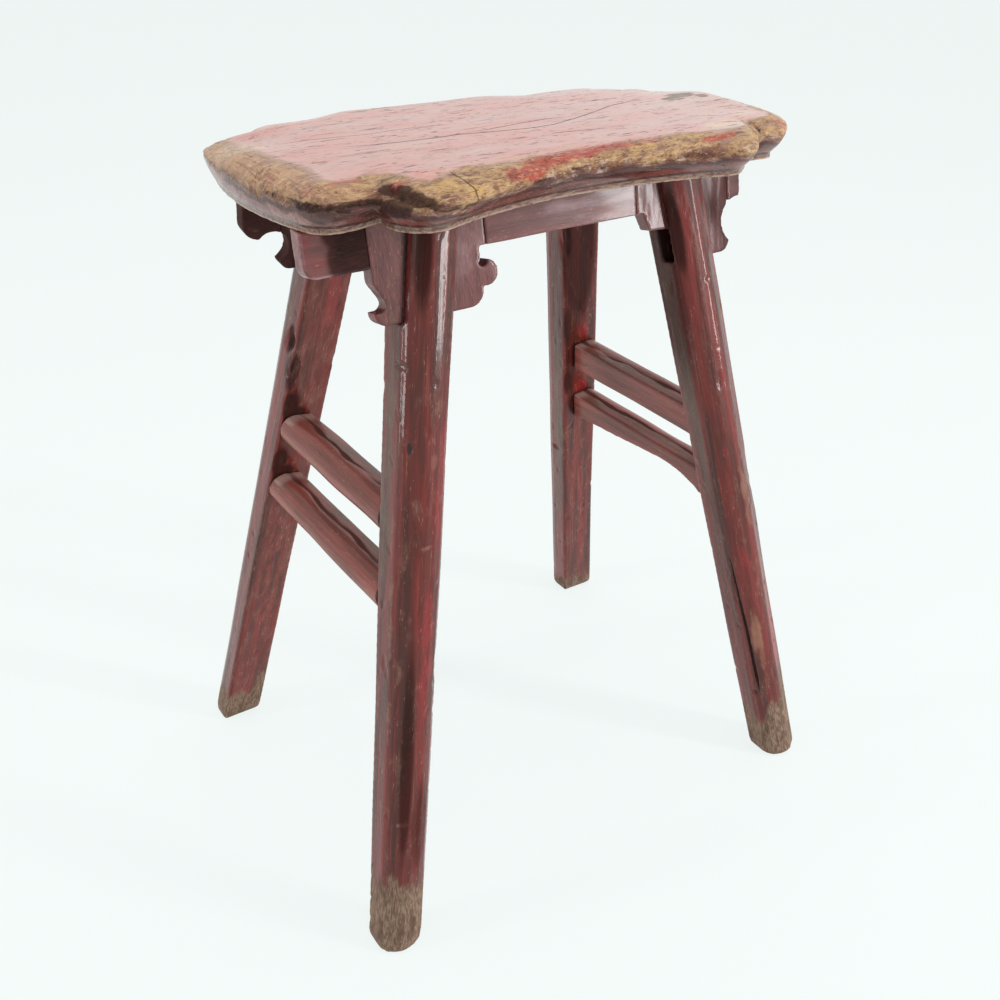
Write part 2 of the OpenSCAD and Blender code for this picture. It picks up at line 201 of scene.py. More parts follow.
# %% Marks on a piece
MARKS = ("foot", "bare", "red", "dark", "grey", "pale", "dirt_and_shade")


def mark(piece, name, values):
    layer = piece.data.attributes.new(name, "FLOAT", "POINT")
    layer.data.foreach_set("value", np.asarray(values, np.float32))


def mark_all(piece, grain_places, marks):
    """Stores the grain directions of a piece and its level of every mark."""
    layer = piece.data.attributes.new("grain", "FLOAT_VECTOR", "POINT")
    layer.data.foreach_set("vector", (grain_places / MM).astype(np.float32).ravel())
    for name in MARKS:
        mark(piece, name, np.clip(marks.get(name, np.zeros(len(grain_places))), 0, 1))


def add_mark(marks, name, values):
    """Where two marks of a kind meet, the stronger one stays."""
    marks[name] = np.maximum(marks.get(name, 0), values)


def add_spots(marks, places, table):
    """For each kind of mark the rows of its spots: centre, radii and strength."""
    for name, rows in table.items():
        for centre, radii, strength in rows:
            add_mark(marks, name, strength * spot(places, centre, radii))


# %% [markdown]
# ## Shader maths
# A material could be wired by hand, node by node, but a sum is easier to read.
# `Value` wraps a socket, so that `1 - mask * 0.5` adds the Math nodes. `Tree`
# makes any other node in one method: its settings are set first, and then its
# sockets. `cover` lays one colour over another, as a painter would, and its
# colours are written as a screen shows them, from 0 to 255.

# %% Values that are sums
def sums(operation, swapped=False):
    """A method that adds one Math node, with its two values in order or swapped."""
    def method(self, other=0.0):
        first, second = (other, self) if swapped else (self, other)
        return self.tree.node("ShaderNodeMath", {"operation": operation}, {0: first, 1: second})
    return method


class Value:
    def __init__(self, tree, socket):
        self.tree, self.socket = tree, socket

    __add__ = __radd__ = sums("ADD")
    __sub__ = sums("SUBTRACT")
    __rsub__ = sums("SUBTRACT", swapped=True)
    __mul__ = __rmul__ = sums("MULTIPLY")
    __or__ = sums("MAXIMUM")
    __abs__ = sums("ABSOLUTE")

    def step(self, low, high):
        """0 below low, 1 above high, smooth in between."""
        return self.tree.node("ShaderNodeMapRange", {"interpolation_type": "SMOOTHSTEP"},
                              {"Value": self, "From Min": low, "From Max": high})

    def line(self, middle, width):
        """1 where the value is within width of the middle: a thin line on a noise."""
        return 1 - abs(self - middle).step(width * 0.4, width)


# %% Trees of nodes
def linear(colour):
    """A colour as a screen shows it, 0 to 255, made linear."""
    return tuple(round(((c / 255 + 0.055) / 1.055) ** 2.4 if c > 10 else c / 3295, 4) for c in colour)


class Tree:
    def __init__(self, tree):
        self.tree = tree

    def node(self, kind, settings, inputs, output=0):
        made = self.tree.nodes.new(kind)
        for key, value in settings.items():
            setattr(made, key, value)
        for key, value in inputs.items():
            self.feed(made.inputs[key], value)
        return Value(self, made.outputs[output])

    def feed(self, socket, value):
        if isinstance(value, Value):
            self.tree.links.new(value.socket, socket)
        elif isinstance(value, tuple) and len(value) == 3 and socket.type == "RGBA":
            socket.default_value = (*value, 1)
        else:
            socket.default_value = value

    def attribute(self, name, output="Fac"):
        return self.node("ShaderNodeAttribute", {"attribute_name": name}, {}, output)

    def noise(self, places, stretch, detail, rough, warp=0.0):
        """A cloudy pattern; stretch is the size of its clouds in millimetres."""
        scaled = self.node("ShaderNodeVectorMath", {"operation": "MULTIPLY"},
                           {0: places, 1: tuple(MM / s for s in stretch)}, "Vector")
        return self.node("ShaderNodeTexNoise", {}, {
            "Vector": scaled, "Scale": 1.0, "Detail": detail, "Roughness": rough, "Distortion": warp})

    def mix(self, amount, under, over):
        """One colour over another, by an amount from 0 to 1."""
        under, over = (linear(c) if isinstance(c, tuple) else c for c in (under, over))
        return self.node("ShaderNodeMix", {"data_type": "RGBA"}, {0: amount, 6: under, 7: over}, 2)

    def cover(self, colour, coats):
        """Lays coats over a colour, one on the other: how much of each, and its colour."""
        for amount, coat in coats:
            colour = self.mix(amount, colour, coat)
        return colour

    def bump(self, height, strength, distance):
        return self.node("ShaderNodeBump", {}, {"Height": height, "Strength": strength, "Distance": distance})


class Finish(Tree):
    """A material with a surface shader, in the name of a finish."""

    def __init__(self, name):
        self.material = bpy.data.materials.new(name)
        self.material.use_nodes = True
        super().__init__(self.material.node_tree)
        self.shader = self.tree.nodes["Principled BSDF"]
        self.out = self.tree.nodes["Material Output"]

    def set(self, **sockets):
        """Feeds the sockets of the surface shader, such as Base_Color."""
        for name, value in sockets.items():
            self.feed(self.shader.inputs[name.replace("_", " ")], value)


# %% [markdown]
# ## The legs
# Each leg is flat inside and round outside, planed from one billet, and old
# knocks and the draw knife have left it wavy. It could be swept afresh along
# its length, but its solid has the slot, mortises and tenons in the right
# places, so the piece starts as a merged copy of that. A voxel remesh gives it
# an even skin that is fine enough to carve, and smoothing rounds its arrises
# as wear does.

# %% Skin a copy of a solid
WELD = 0.00001
SKINS = {"leg": (1.25, 5), "board": (0.9, 3), "stretcher": (1.1, 5)}  # voxel in mm, rounds of smoothing


def skinned(node, voxel, rounds):
    """A merged, remeshed copy of a solid, free of the labels that the frame gave it."""
    name = node + "_wood"
    only(SOLIDS[node])
    bpy.ops.object.duplicate()
    piece = bpy.context.object
    piece.name = piece.data.name = name
    piece.data.materials.clear()
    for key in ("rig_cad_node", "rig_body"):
        if key in piece:
            del piece[key]
    piece.parent = None
    bpy.ops.object.mode_set(mode="EDIT")
    bpy.ops.mesh.select_all(action="SELECT")
    bpy.ops.mesh.remove_doubles(threshold=WELD)
    bpy.ops.object.mode_set(mode="OBJECT")
    apply(piece, "REMESH", mode="VOXEL", voxel_size=voxel / MM, use_smooth_shade=True)
    apply(piece, "SMOOTH", factor=0.5, iterations=rounds)
    print(name, len(piece.data.vertices), "points")
    return piece


def place(piece, node, finish):
    """Stands a finished piece in for its solid."""
    piece.data.materials.clear()
    piece.data.materials.append(finish)
    only(piece)
    bpy.ops.object.shade_smooth()
    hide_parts(node)
    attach(piece, "root")


# %% [markdown]
# Every wooden piece but the seat gets a `grain` attribute: its points measured
# in the piece's own directions, with the third one along the grain. The
# materials read it, so the grain follows a leaning leg exactly as it does in
# the tree. The marks of each leg are placed in the same directions: outwards
# along the seat, outwards across it, and the height.

# %% Leg directions
SEAT_UNDER = 476.5
LEG_TOP = np.array([92.2, 56.5])
LEG_SLOPE = np.array([math.tan(math.radians(10.6)), math.tan(math.radians(10.7))])
LEG_HALF = 17.4
CORNERS = {"front_left": (-1, -1), "front_right": (1, -1), "back_left": (-1, 1), "back_right": (1, 1)}


def leg_frame(places, side):
    """The points of a leg in the directions of its own axis."""
    drop = SEAT_UNDER - places[:, 2]
    along = places[:, 0] * side[0] - LEG_TOP[0] - drop * LEG_SLOPE[0]
    across = places[:, 1] * side[1] - LEG_TOP[1] - drop * LEG_SLOPE[1]
    return np.stack([along, across, places[:, 2]], axis=1)


# %% [markdown]
# The round face of a leg was planed in long narrow facets, and they are what
# gives it its bright strips. A facet is flat, so it lies a little under the
# round between its two edges. The edges of the facets were read off the left
# front leg, as angles round the leg, and wander a little on the way down.

# %% Planed facets
FACETS = np.array([-12, 3, 28, 70, 79, 89, 111, 134, 160, 190], float)
FLANK, FLANK_TAPER = 5, 3.2  # where the round begins, across the leg, and its loss at the foot
ROUND_DEPTH, ROUND_RADIUS, FACET_LIMIT = 12.5, 15.5, 1.0


def facet_depth(own, wander):
    """How far the flat of each facet lies under the round."""
    flank = FLANK - FLANK_TAPER * (1 - own[:, 2] / SEAT_UNDER)
    turn = np.degrees(np.arctan2((own[:, 1] - flank) / ROUND_DEPTH, own[:, 0] / LEG_HALF)) + wander
    depth = np.zeros(len(own))
    for low, high in zip(FACETS[:-1], FACETS[1:]):
        half = math.radians((high - low) / 2)
        away = np.radians(turn - (low + high) / 2)
        inside = np.abs(away) < half
        depth[inside] = ROUND_RADIUS * (1 - math.cos(half) / np.cos(away[inside]))
    return np.clip(depth, 0, FACET_LIMIT) * ramp(-1, 3, own[:, 1] - flank)


print(len(FACETS) - 1, "facets round a leg")

# %% [markdown]
# Each leg has its own story. The tables below give the marks that the
# photograph shows on it: the kind of mark, its place on the leg, its radii and
# its strength. A cut is carved into the wood, so many millimetres deep, and
# the rest is colour.

# %% Marks of the legs
# The darkest brown spots are mostly painted shade: in the corners where the stretchers meet the back legs and
# on faces turned from the light. There is also a painted dark reflection on top of the left front leg, and
# some dark streaks.
LEG_SPOTS = {
    "front_left": {
        "dirt_and_shade": [((10, 15, 455), (9, 8, 48), 0.75), ((7, 14, 145), (7, 8, 115), 0.8),
            ((-5, 15, 92), (12, 8, 52), 0.5)],
        "dark": [((13, 11.5, 345), (3, 3, 6), 0.9), ((16, 7, 392), (4, 6, 2), 0.8),
            ((4, 16, 285), (7, 5, 18), 0.4)],
        "red": [((-11, 13, 340), (7, 9, 32), 1.0), ((-9, 14, 300), (9, 9, 42), 0.7),
            ((-4, 15, 215), (10, 9, 85), 0.8), ((10, 13, 420), (7, 7, 60), 0.35)],
        "pale": [((0, 17, 283), (7, 5, 2.2), 0.9), ((8, 13, 98), (7, 6, 2.5), 1.0),
            ((-3, 17, 335), (5, 5, 9), 0.7), ((-3, 17, 440), (5, 5, 60), 0.5)],
        "grey": [((17, -6, 330), (4, 14, 130), 0.8)],
        "bare": [((17, 3, 240), (3.5, 4, 95), 0.55), ((17, 4, 180), (3, 4, 45), 0.5)]},
    "front_right": {
        "dirt_and_shade": [((-14, 10, 440), (7, 9, 45), 0.9), ((-17, -4, 400), (9, 22, 130), 0.6)],
        "dark": [((-3, 17, 350), (5, 5, 30), 0.35), ((-15.6, 6.4, 65), (3, 3, 4), 1.0)],
        "grey": [((-17, -4, 330), (5, 14, 150), 0.9)],
        "red": [((-7, 15, 395), (6, 6, 40), 0.6), ((-8, 14, 300), (6, 7, 60), 0.5),
            ((-7, 14, 185), (6, 7, 26), 0.8), ((8, 13, 110), (6, 8, 60), 0.9)],
        "bare": [((4, 15, 250), (7, 6, 70), 0.55), ((-8, 13, 118), (7, 7, 42), 0.95),
            ((3, 15, 180), (7, 6, 50), 0.4)],
        "pale": [((-2, 17, 400), (4, 5, 60), 0.4)]},
    "back_left": {
        "red": [((-5, -17, 395), (10, 4, 45), 0.9), ((2, -16, 180), (8, 5, 60), 0.7),
            ((0, -15, 110), (9, 5, 50), 0.5)],
        "dirt_and_shade": [((17, -8, 360), (6, 7, 16), 1.0), ((15, -15, 335), (8, 7, 22), 0.7),
            ((12, -17, 309), (11, 5, 16), 0.9), ((7, -17, 301), (13, 5, 8), 1.0),
            ((12, -17, 262), (11, 5, 17), 0.9), ((7, -17, 252), (13, 5, 8), 1.0)],
        "grey": [((17, 3, 400), (4, 12, 80), 0.7)],
        "dark": [((13, -15, 190), (3, 4, 60), 0.5)],
        "pale": [((4, -16, 152), (9, 4, 10), 0.35)]},
    "back_right": {
        "dirt_and_shade": [((-3, -17, 395), (24, 7, 110), 1.0), ((-13, -17, 318), (7, 5, 34), 0.75),
            ((-13, -17, 262), (7, 5, 20), 0.75)],
        "dark": [((-12, -15, 395), (4, 6, 26), 0.8), ((-17, -2, 184), (3, 6, 3), 0.9),
            ((-14, -15, 120), (3, 3, 60), 0.5)],
        "red": [((2, -17, 312), (9, 4, 11), 1.0), ((0, -17, 256), (12, 4, 12), 0.9),
            ((4, -16, 150), (12, 5, 75), 0.55)],
        "grey": [((-17, -6, 220), (4, 12, 230), 0.8)]}}
LEG_CUTS = {
    "front_left": [((17, 5, 392), (7, 9, 3), 1.4), ((13.5, 12, 345), (4, 5, 5), 1.8),
        ((-16, 8, 200), (6, 6, 14), 0.8)],
    "front_right": [((-15.6, 6.4, 65), (3, 3, 4), 2.0), ((-3, 17, 333), (5, 5, 8), 0.7),
        ((15, 9, 250), (6, 8, 30), 0.8)],
    "back_left": [((17, -8, 358), (8, 9, 10), 2.6), ((16, -15, 338), (7, 7, 12), 2.4),
        ((14, -16, 312), (6, 5, 8), 1.6)],
    "back_right": [((-14, -15, 395), (6, 6, 24), 1.8), ((-17, -3, 186), (5, 7, 3), 1.6)]}
FOOT_HEIGHTS = {"front_left": 56, "front_right": 60, "back_left": 34, "back_right": 16}
FOOT_CRACK = [(62, 9.6), (80, 9.3), (97, 8.8), (121, 8.6), (144, 7.6), (166, 6.6), (196, 5.6)]
print("kinds of marks:", {corner: list(spots) for corner, spots in LEG_SPOTS.items()})

# %% Wear and marks of a leg
SLOT_FOOT, SLOT_HALF = 412, 6.2  # the slot at the top: its lower end and half its width
TOE_HEIGHT, TOE_DEPTH, SOLE = 9, 2.6, 0.6
FOOT_CRACK_HALF, FOOT_CRACK_FADE, FOOT_CRACK_DEPTH = 0.95, 22, 2.4


def leg_depth(own, corner, number):
    """How deep a leg is carved at each point: waves, facets, nicks and cuts."""
    wave = 0.35 * grain_noise(own, (30, 30, 80), number) + 0.07 * grain_noise(own, (4, 4, 40), number + 4)
    depth = 0.25 - wave + facet_depth(own, 2.5 * grain_noise(own * [0, 0, 1], (9, 9, 110), number + 12))
    depth += 0.5 * ramp(0.72, 1.0, grain_noise(own, (6, 6, 11), number + 30))
    for centre, radii, cut in LEG_CUTS[corner]:
        depth += cut * spot(own, centre, radii) * (0.8 + 0.5 * grain_noise(own, (3, 3, 8), number + 16))
    return depth


def leg_marks(own, corner, side, number):
    """The bare foot, the spots of the table, the dark slot and the rubbed inner face."""
    along, across, height = np.abs(own[:, 0]), np.abs(own[:, 1]), own[:, 2]
    lean = 1.2 * own[:, 0] * (corner == "front_right")
    ragged = 12 * grain_noise(own, (9, 9, 16), number + 8)
    marks = {"foot": 1 - ramp(-14, 14, height - FOOT_HEIGHTS[corner] - lean + ragged)}
    add_spots(marks, own, LEG_SPOTS[corner])
    slot_edge = bell(across - SLOT_HALF, 0.9) * (height > SLOT_FOOT)
    slot_inside = ramp(9, 5, across) * (height > SLOT_FOOT)
    add_mark(marks, "dark", slot_edge * ramp(12, 15, along))
    add_mark(marks, "dark", slot_inside * ramp(16.6, 14, along))
    if side[1] > 0:
        flat = ramp(-13, -15.5, own[:, 1]) * ramp(16.5, 15, along)
        add_mark(marks, "pale", (0.25 - 0.2 * side[0]) * flat * (1 - marks["dirt_and_shade"]))
    return marks


# %% [markdown]
# Carving moves each point inwards along its normal. The tenons in the seat
# aren't touched, and a toe is rounded sideways only, so that its sole stays
# flat on the floor. The long crack in the right front foot is carved and
# coloured along one drawn line.

# %% Carve the legs
legs = {}
for number, (corner, side) in enumerate(CORNERS.items()):
    leg = skinned("leg_" + corner, *SKINS["leg"])
    at = points(leg)
    own = leg_frame(at, side)
    depth = leg_depth(own, corner, number)
    crack, near_crack = line_offset(own[:, 2], own[:, 1], FOOT_CRACK, FOOT_CRACK_HALF, FOOT_CRACK_FADE)
    near_crack *= (own[:, 0] < -9) * (corner == "front_right")
    depth += FOOT_CRACK_DEPTH * bell(crack, 1) * near_crack
    toe = np.clip(1 - own[:, 2] / TOE_HEIGHT, 0, 1)
    depth += TOE_DEPTH * (1 - np.sqrt(1 - toe ** 2))
    free = ramp(0, 10, SEAT_UNDER - own[:, 2]) * ramp(0, 5, own[:, 2])
    carved = normals(leg) * (depth * np.maximum(free, toe > 0))[:, None]
    carved[:, 2] *= toe == 0
    at -= carved
    at[:, 2] = np.where(own[:, 2] < SOLE, 0, at[:, 2])
    set_points(leg, at)
    mark_all(leg, own + [300 * number, 0, 0], leg_marks(own, corner, side, number))
    mark(leg, "crack", crack)
    mark(leg, "near_crack", near_crack)
    legs["leg_" + corner] = leg
print("legs carved")

# %% [markdown]
# ## The boards
# The fretted boards, aprons and tabs are thin and lean with the legs. They
# could be bevelled by hand, but the same skin as that of the legs rounds every
# curl evenly, and it is finer here because the curls are small. The grain of
# an apron or a tab runs along the seat, and that of a fretted board upwards.
# The back boards under the seat and the tab under the left end get painted
# shade, and the front apron and the inner parts of the front boards a painted pale sheen.

# %% Marks of a board
TAB_END, TAB_UNDER = 176.5, 451
SHEEN_HEIGHT = 466


def board_marks(node, at, cloudy):
    """Back boards get painted shade all over; each kind of front board gets its own wear and painted shade
    and sheen.
    """
    x, z = np.abs(at[:, 0]), at[:, 2]
    # the back boards get painted shade under the seat
    if "back" in node:
        return {"dirt_and_shade": 0.85 + 0.3 * cloudy}
    # the left front tab gets painted shade under the left end of the seat, darkest towards the middle, with a
    # red end and worn pale edges
    if node == "tab_front_left":
        end = ramp(TAB_END - 22, TAB_END - 8, x + 4 * cloudy)
        worn_end = 0.5 * ramp(TAB_END - 2.6, TAB_END - 1.2, x + cloudy)
        worn_under = 0.8 * ramp(TAB_UNDER + 1.5, TAB_UNDER, z)
        return {"dirt_and_shade": 1.3 * ramp(124, 136, x) * (1 - end), "red": 0.6 * end,
                "dark": 0.55 * ramp(126, 138, x) * (1 - end),
                "pale": np.maximum(worn_end, worn_under)}
    if node == "tab_front_right":
        return {"grey": 0.25 + 0.4 * cloudy, "dirt_and_shade": 0.42 + 0.15 * cloudy}
    # the apron gets a painted sheen along its middle and a painted shadow under the seat along its top
    if node == "apron_front":
        sheen = ramp(-40, 5, at[:, 0]) * bell(z - SHEEN_HEIGHT - 2 * cloudy, 5)
        return {"pale": np.maximum(sheen * (0.8 + 0.3 * cloudy), 0.2 + 0.2 * cloudy),
                "dark": 0.8 * ramp(474, 476, z)}
    along = x - LEG_TOP[0] - (SEAT_UNDER - z) * LEG_SLOPE[0]
    inner, outer = ramp(-15, -18, along), ramp(15, 18, along)
    against_leg = 0.9 * bell(np.abs(along) - LEG_HALF, 0.8)
    # a painted sheen on the inner parts, and dark joints against the leg
    return {"pale": 0.5 * inner * (0.8 + 0.35 * cloudy), "grey": outer * (0.2 + 0.3 * cloudy),
            "dark": np.maximum(against_leg, spot(at, (-142, -70, 418), (9, 8, 6))),
            "red": spot(at, (-140, -72, 424), (8, 8, 6)),
            "dirt_and_shade": (0.5 + 0.15 * cloudy) * outer * (at[:, 0] > 0)}


# %% Skin the boards
boards = {}
for node in sorted(SOLIDS):
    kind = node.split("_")[0]
    if kind not in ("spandrel", "apron", "tab"):
        continue
    number = len(boards)
    board = skinned(node, *SKINS["board"])
    at = points(board)
    grain = at[:, [1, 0, 2]] if kind == "spandrel" else at[:, [1, 2, 0]]
    wave = 0.2 * grain_noise(grain, (12, 12, 40), number) + 0.03 * grain_noise(grain, (3, 3, 20), number)
    at += normals(board) * (wave - 0.12)[:, None]
    set_points(board, at)
    cloudy = grain_noise(grain, (12, 12, 30), number + 3)
    mark_all(board, grain + [57 * number, 0, 0], board_marks(node, at, cloudy))
    boards[node] = board
print(len(boards), "boards")

# %% [markdown]
# ## The stretchers
# Two stretchers on each short side, flat inside and half round outside, are
# skinned in the same way. Feet have rubbed a long ochre band along the round
# side. Dark dirt lies in a broad wavy streak on top, in a shallow hollow, and
# dust in the corners at the back legs.

# %% Stretcher directions
RAIL_HEIGHTS = {"upper": 288.5, "lower": 238.0}
LEG_INNER = 16.5  # from the middle of a leg to its inner face


def rail_frame(places, middle):
    """The points of a stretcher, outwards, upwards and along from its middle."""
    leg_x = LEG_TOP[0] + (SEAT_UNDER - middle) * LEG_SLOPE[0]
    rise = places[:, 2] - middle
    out = np.abs(places[:, 0]) - leg_x + rise * LEG_SLOPE[0]
    return np.stack([out, rise, places[:, 1]], axis=1)


def dirt_streak(own, number):
    """Where the streak lies across the top of a stretcher, and how dark it is."""
    dirt = 3.2 + 2.0 * grain_noise(own * [0, 0, 1], (9, 9, 26), number + 21)
    width = 2.2 + 1.1 * grain_noise(own * [0, 0, 1], (9, 9, 15), number + 25)
    return dirt, bell(own[:, 0] - dirt, width) * ramp(6, 8, own[:, 1])


# %% Skin the stretchers
stretchers = {}
for node in sorted(SOLIDS):
    if not node.startswith("stretcher"):
        continue
    number = len(stretchers)
    rail = skinned(node, *SKINS["stretcher"])
    at = points(rail)
    own = rail_frame(at, RAIL_HEIGHTS[node.split("_")[2]])
    out, rise = own[:, 0], own[:, 1]
    inner_y = LEG_TOP[1] + (SEAT_UNDER - at[:, 2]) * LEG_SLOPE[1] - LEG_INNER
    reach = inner_y - np.abs(at[:, 1])
    wave = 0.4 * grain_noise(own, (20, 20, 50), number) + 0.08 * grain_noise(own, (3, 3, 30), number + 7)
    dirt, dirt_line = dirt_streak(own, number)
    depth = 0.25 - wave + 0.3 * dirt_line
    at -= normals(rail) * (depth * ramp(-3, 2, reach))[:, None]
    set_points(rail, at)

    cloudy = grain_noise(own, (8, 8, 35), number + 13)
    round_side = ramp(5, 9, out) * ramp(6, -1, rise)
    marks = {"dark": np.maximum(bell(reach - 0.2, 1.1), 0.7 * ramp(1.0, 0, reach)),
             "bare": 0.75 * ramp(0, 0.8, cloudy + 0.3) * round_side * ramp(-11, -6, rise),
             "grey": ramp(9, 11, rise) * ramp(dirt, dirt - 3, out) * (0.7 + 0.4 * cloudy),
             "pale": ramp(8, 10, rise) * ramp(22, 3, inner_y - at[:, 1]),
             "dirt_and_shade": dirt_line * (0.8 + 0.6 * cloudy)}
    if node == "stretcher_right_lower":
        add_spots(marks, at, {"grey": [((136, -36, 238), (9, 15, 9), 1.0)]})
    else:
        add_spots(marks, own, {"red": [((6, 2, 78), (9, 12, 22), 0.8), ((4, 5, -70), (9, 9, 18), 0.6)]})
    mark_all(rail, own + [91 * number, 0, 0], marks)
    stretchers[node] = rail
print(len(stretchers), "stretchers")

# %% [markdown]
# ## The seat
# The seat is one thick plank. Its outline is a chain of arcs that flow into
# each other, with a sharp notch between each side lobe and end lobe. A bevel
# on a flat plate could make a plain edge, but this one has a bead, a flare and
# a worn round. So the rim is drawn first and extruded upwards in small steps,
# each one grown or drawn in as the moulding asks. The arcs keep their centres
# when they grow, so every step has the same points in the same order.

# %% Seat outline
END_HALF_LENGTH, END_RADIUS, END_HALF_WIDTH, CORNER_RADIUS, SHOULDER_RADIUS = 183, 240, 77, 16, 60
LOBE_X, LOBE_REACH, SHORT_LOBE, LOBE_RADIUS, WAIST = 110, 103, 5, 22, 82
FLARE, ARRIS_HEIGHT, ARRIS_WIDTH, LEFT_TUCK, RIGHT_TUCK = 12, 12, 20, 6.5, 1
BEAD_HEIGHT, BEAD_STEP, SEAT_THICKNESS = 5, 1.8, 28.5
NOTCH_GAP = 0.4  # degrees between the last points of two lobes and the notch itself
WEAR_SOFTNESS, WEAR_SHARE, WEAR_PAST_WAIST = 4.0, 0.85, 4


def arc(centre, radius, start, stop, steps):
    turn = np.radians(np.linspace(start, stop, steps, endpoint=False))
    return np.asarray(centre) + radius * np.stack([np.cos(turn), np.sin(turn)], axis=1)


def heading(direction):
    return math.degrees(math.atan2(direction[1], direction[0]))


def quarter(grow, reach):
    """A quarter of the outline: end, corner, shoulder, notch, lobe and waist."""
    end = np.array([END_HALF_LENGTH - END_RADIUS, 0])
    rise = END_HALF_WIDTH - CORNER_RADIUS
    corner = np.array([end[0] + math.sqrt((END_RADIUS - CORNER_RADIUS) ** 2 - rise ** 2), rise])
    shoulder = np.array([corner[0], END_HALF_WIDTH - SHOULDER_RADIUS])
    lobe = np.array([LOBE_X, reach - LOBE_RADIUS])
    gap = WAIST - lobe[1]
    waist_radius = (LOBE_X ** 2 + gap ** 2 - LOBE_RADIUS ** 2) / (2 * (LOBE_RADIUS - gap))
    waist = np.array([0, WAIST + waist_radius])
    big, small = SHOULDER_RADIUS + max(grow, 0), LOBE_RADIUS + max(grow, 0)
    line = shoulder - lobe
    length = np.linalg.norm(line)
    along = (small ** 2 - big ** 2 + length ** 2) / (2 * length)
    unit = line / length
    notch = lobe + along * unit + math.sqrt(small ** 2 - along ** 2) * np.array([-unit[1], unit[0]])
    out_a, out_b = (notch - shoulder) / big, (notch - lobe) / small
    bend = heading(waist - lobe)
    inner = notch + min(grow, 0) * (out_a + out_b) / np.linalg.norm(out_a + out_b)
    return np.concatenate([
        arc(end, END_RADIUS + grow, 0, heading(corner - end), 26),
        arc(corner, CORNER_RADIUS + grow, heading(corner - end), 90, 20),
        arc(shoulder, SHOULDER_RADIUS + grow, 90, heading(out_a) - NOTCH_GAP, 22), [inner],
        arc(lobe, LOBE_RADIUS + grow, heading(out_b) + NOTCH_GAP, bend, 40),
        arc(waist, waist_radius - grow, bend - 180, -90, 48),
        [[0, WAIST + grow]]])


def worn(shape, wear):
    """Three of the lobes are worn down from their tips, softly, to just inside the waist."""
    limit = LOBE_REACH + FLARE - (LOBE_REACH + FLARE - WAIST + WEAR_PAST_WAIST) * wear
    over = WEAR_SOFTNESS * np.logaddexp(0, (shape[:, 1] - limit) / WEAR_SOFTNESS)
    return np.stack([shape[:, 0], shape[:, 1] - WEAR_SHARE * over], axis=1)


def seat_outline(grow, tuck=0.0, wear=0.0):
    """The whole rim, grown, with a share of the tucked ends and of the worn lobes."""
    full = worn(quarter(grow, LOBE_REACH), wear)
    short = quarter(grow, LOBE_REACH - SHORT_LOBE)
    whole = np.concatenate([full, full[-2:0:-1] * [-1, 1], -full, short[-2:0:-1] * [1, -1]])
    share = np.where(whole[:, 0] < 0, LEFT_TUCK, RIGHT_TUCK) * tuck / END_HALF_LENGTH
    whole[:, 0] *= 1 - share * np.abs(whole[:, 0] / END_HALF_LENGTH) ** 3
    return whole


RIM = len(seat_outline(0))
print(RIM, "points round the rim")

# %% Profile of the moulded edge
# Each row: growth of the outline, height over the underside, and the shares of
# the tuck of the ends and of the wear of the lobes
FLARE_TOP = SEAT_THICKNESS - ARRIS_HEIGHT
profile = [(0, h, 0, 0) for h in (0.9, 1.8, 2.8, 3.8, 4.5)]
profile += [(0.7, 4.8, 0, 0), (1.5, 4.95, 0, 0)]
for t in np.linspace(0.02, 0.97, 13):
    rise = (t + math.sin(math.radians(90 * t))) / 2
    profile.append((BEAD_STEP + (FLARE - BEAD_STEP) * rise,
                    BEAD_HEIGHT + (FLARE_TOP - BEAD_HEIGHT) * t, rise, 0))
for a in np.radians(np.linspace(0, 90, 25)):
    profile.append((FLARE - ARRIS_WIDTH * (1 - math.cos(a)), FLARE_TOP + ARRIS_HEIGHT * math.sin(a),
                    1, math.sin(a) ** 2))
print(len(profile), "steps up the edge")

# %% Extrude the moulded edge
bpy.ops.object.select_all(action="DESELECT")
bpy.ops.mesh.primitive_circle_add(vertices=RIM)
seat = bpy.context.object
seat.name = seat.data.name = "seat_wood"
bpy.ops.object.mode_set(mode="EDIT")
ring = list(bmesh.from_edit_mesh(seat.data).verts)


def set_ring(verts, shape, height):
    for vert, (x, y) in zip(verts, shape):
        vert.co = (x / MM, y / MM, height / MM)


def next_ring(old_ring):
    """Extrudes the open rim, and gives the new points in the order of the old ones."""
    bpy.ops.mesh.extrude_edges_move()
    return [next(e.other_vert(old) for e in old.link_edges if e.other_vert(old).select)
            for old in old_ring]


set_ring(ring, seat_outline(0), SEAT_UNDER)
bpy.ops.mesh.edge_face_add()
for grow, height, tuck, wear in profile:
    ring = next_ring(ring)
    set_ring(ring, seat_outline(grow, tuck, wear), SEAT_UNDER + height)
bpy.ops.mesh.edge_face_add()
bpy.ops.mesh.select_all(action="SELECT")
bpy.ops.mesh.normals_make_consistent(inside=False)
bpy.ops.object.mode_set(mode="OBJECT")
print("seat rings", len(seat.data.vertices), "points,", len(seat.data.polygons), "faces")

# %% [markdown]
# The rings are exact, and the real edge is anything but. So the plank is
# remeshed evenly, and then worn: the corners at the back are lower, the right
# end is narrower, the round along the rim is lumpy, and chips and hollows are
# carved where the photograph shows them. How far each point lies inside the
# rim is measured too, because the bare band is a matter of that distance.

# %% Remesh the seat
SEAT_VOXEL, SEAT_SMOOTHING = 1.45, 3
apply(seat, "REMESH", mode="VOXEL", voxel_size=SEAT_VOXEL / MM, use_smooth_shade=True)
apply(seat, "SMOOTH", factor=0.5, iterations=SEAT_SMOOTHING)
at = points(seat)
height = at[:, 2] - SEAT_UNDER
x, y = at[:, 0], at[:, 1]
flare_line = seat_outline(FLARE, 1)
inside = np.concatenate([np.sqrt(((part[:, None, :2] - flare_line) ** 2).sum(axis=2)).min(axis=1)
                         for part in np.array_split(at, 40)])
print("seat", len(at), "points, widest inside the rim", round(float(inside.max())), "mm")

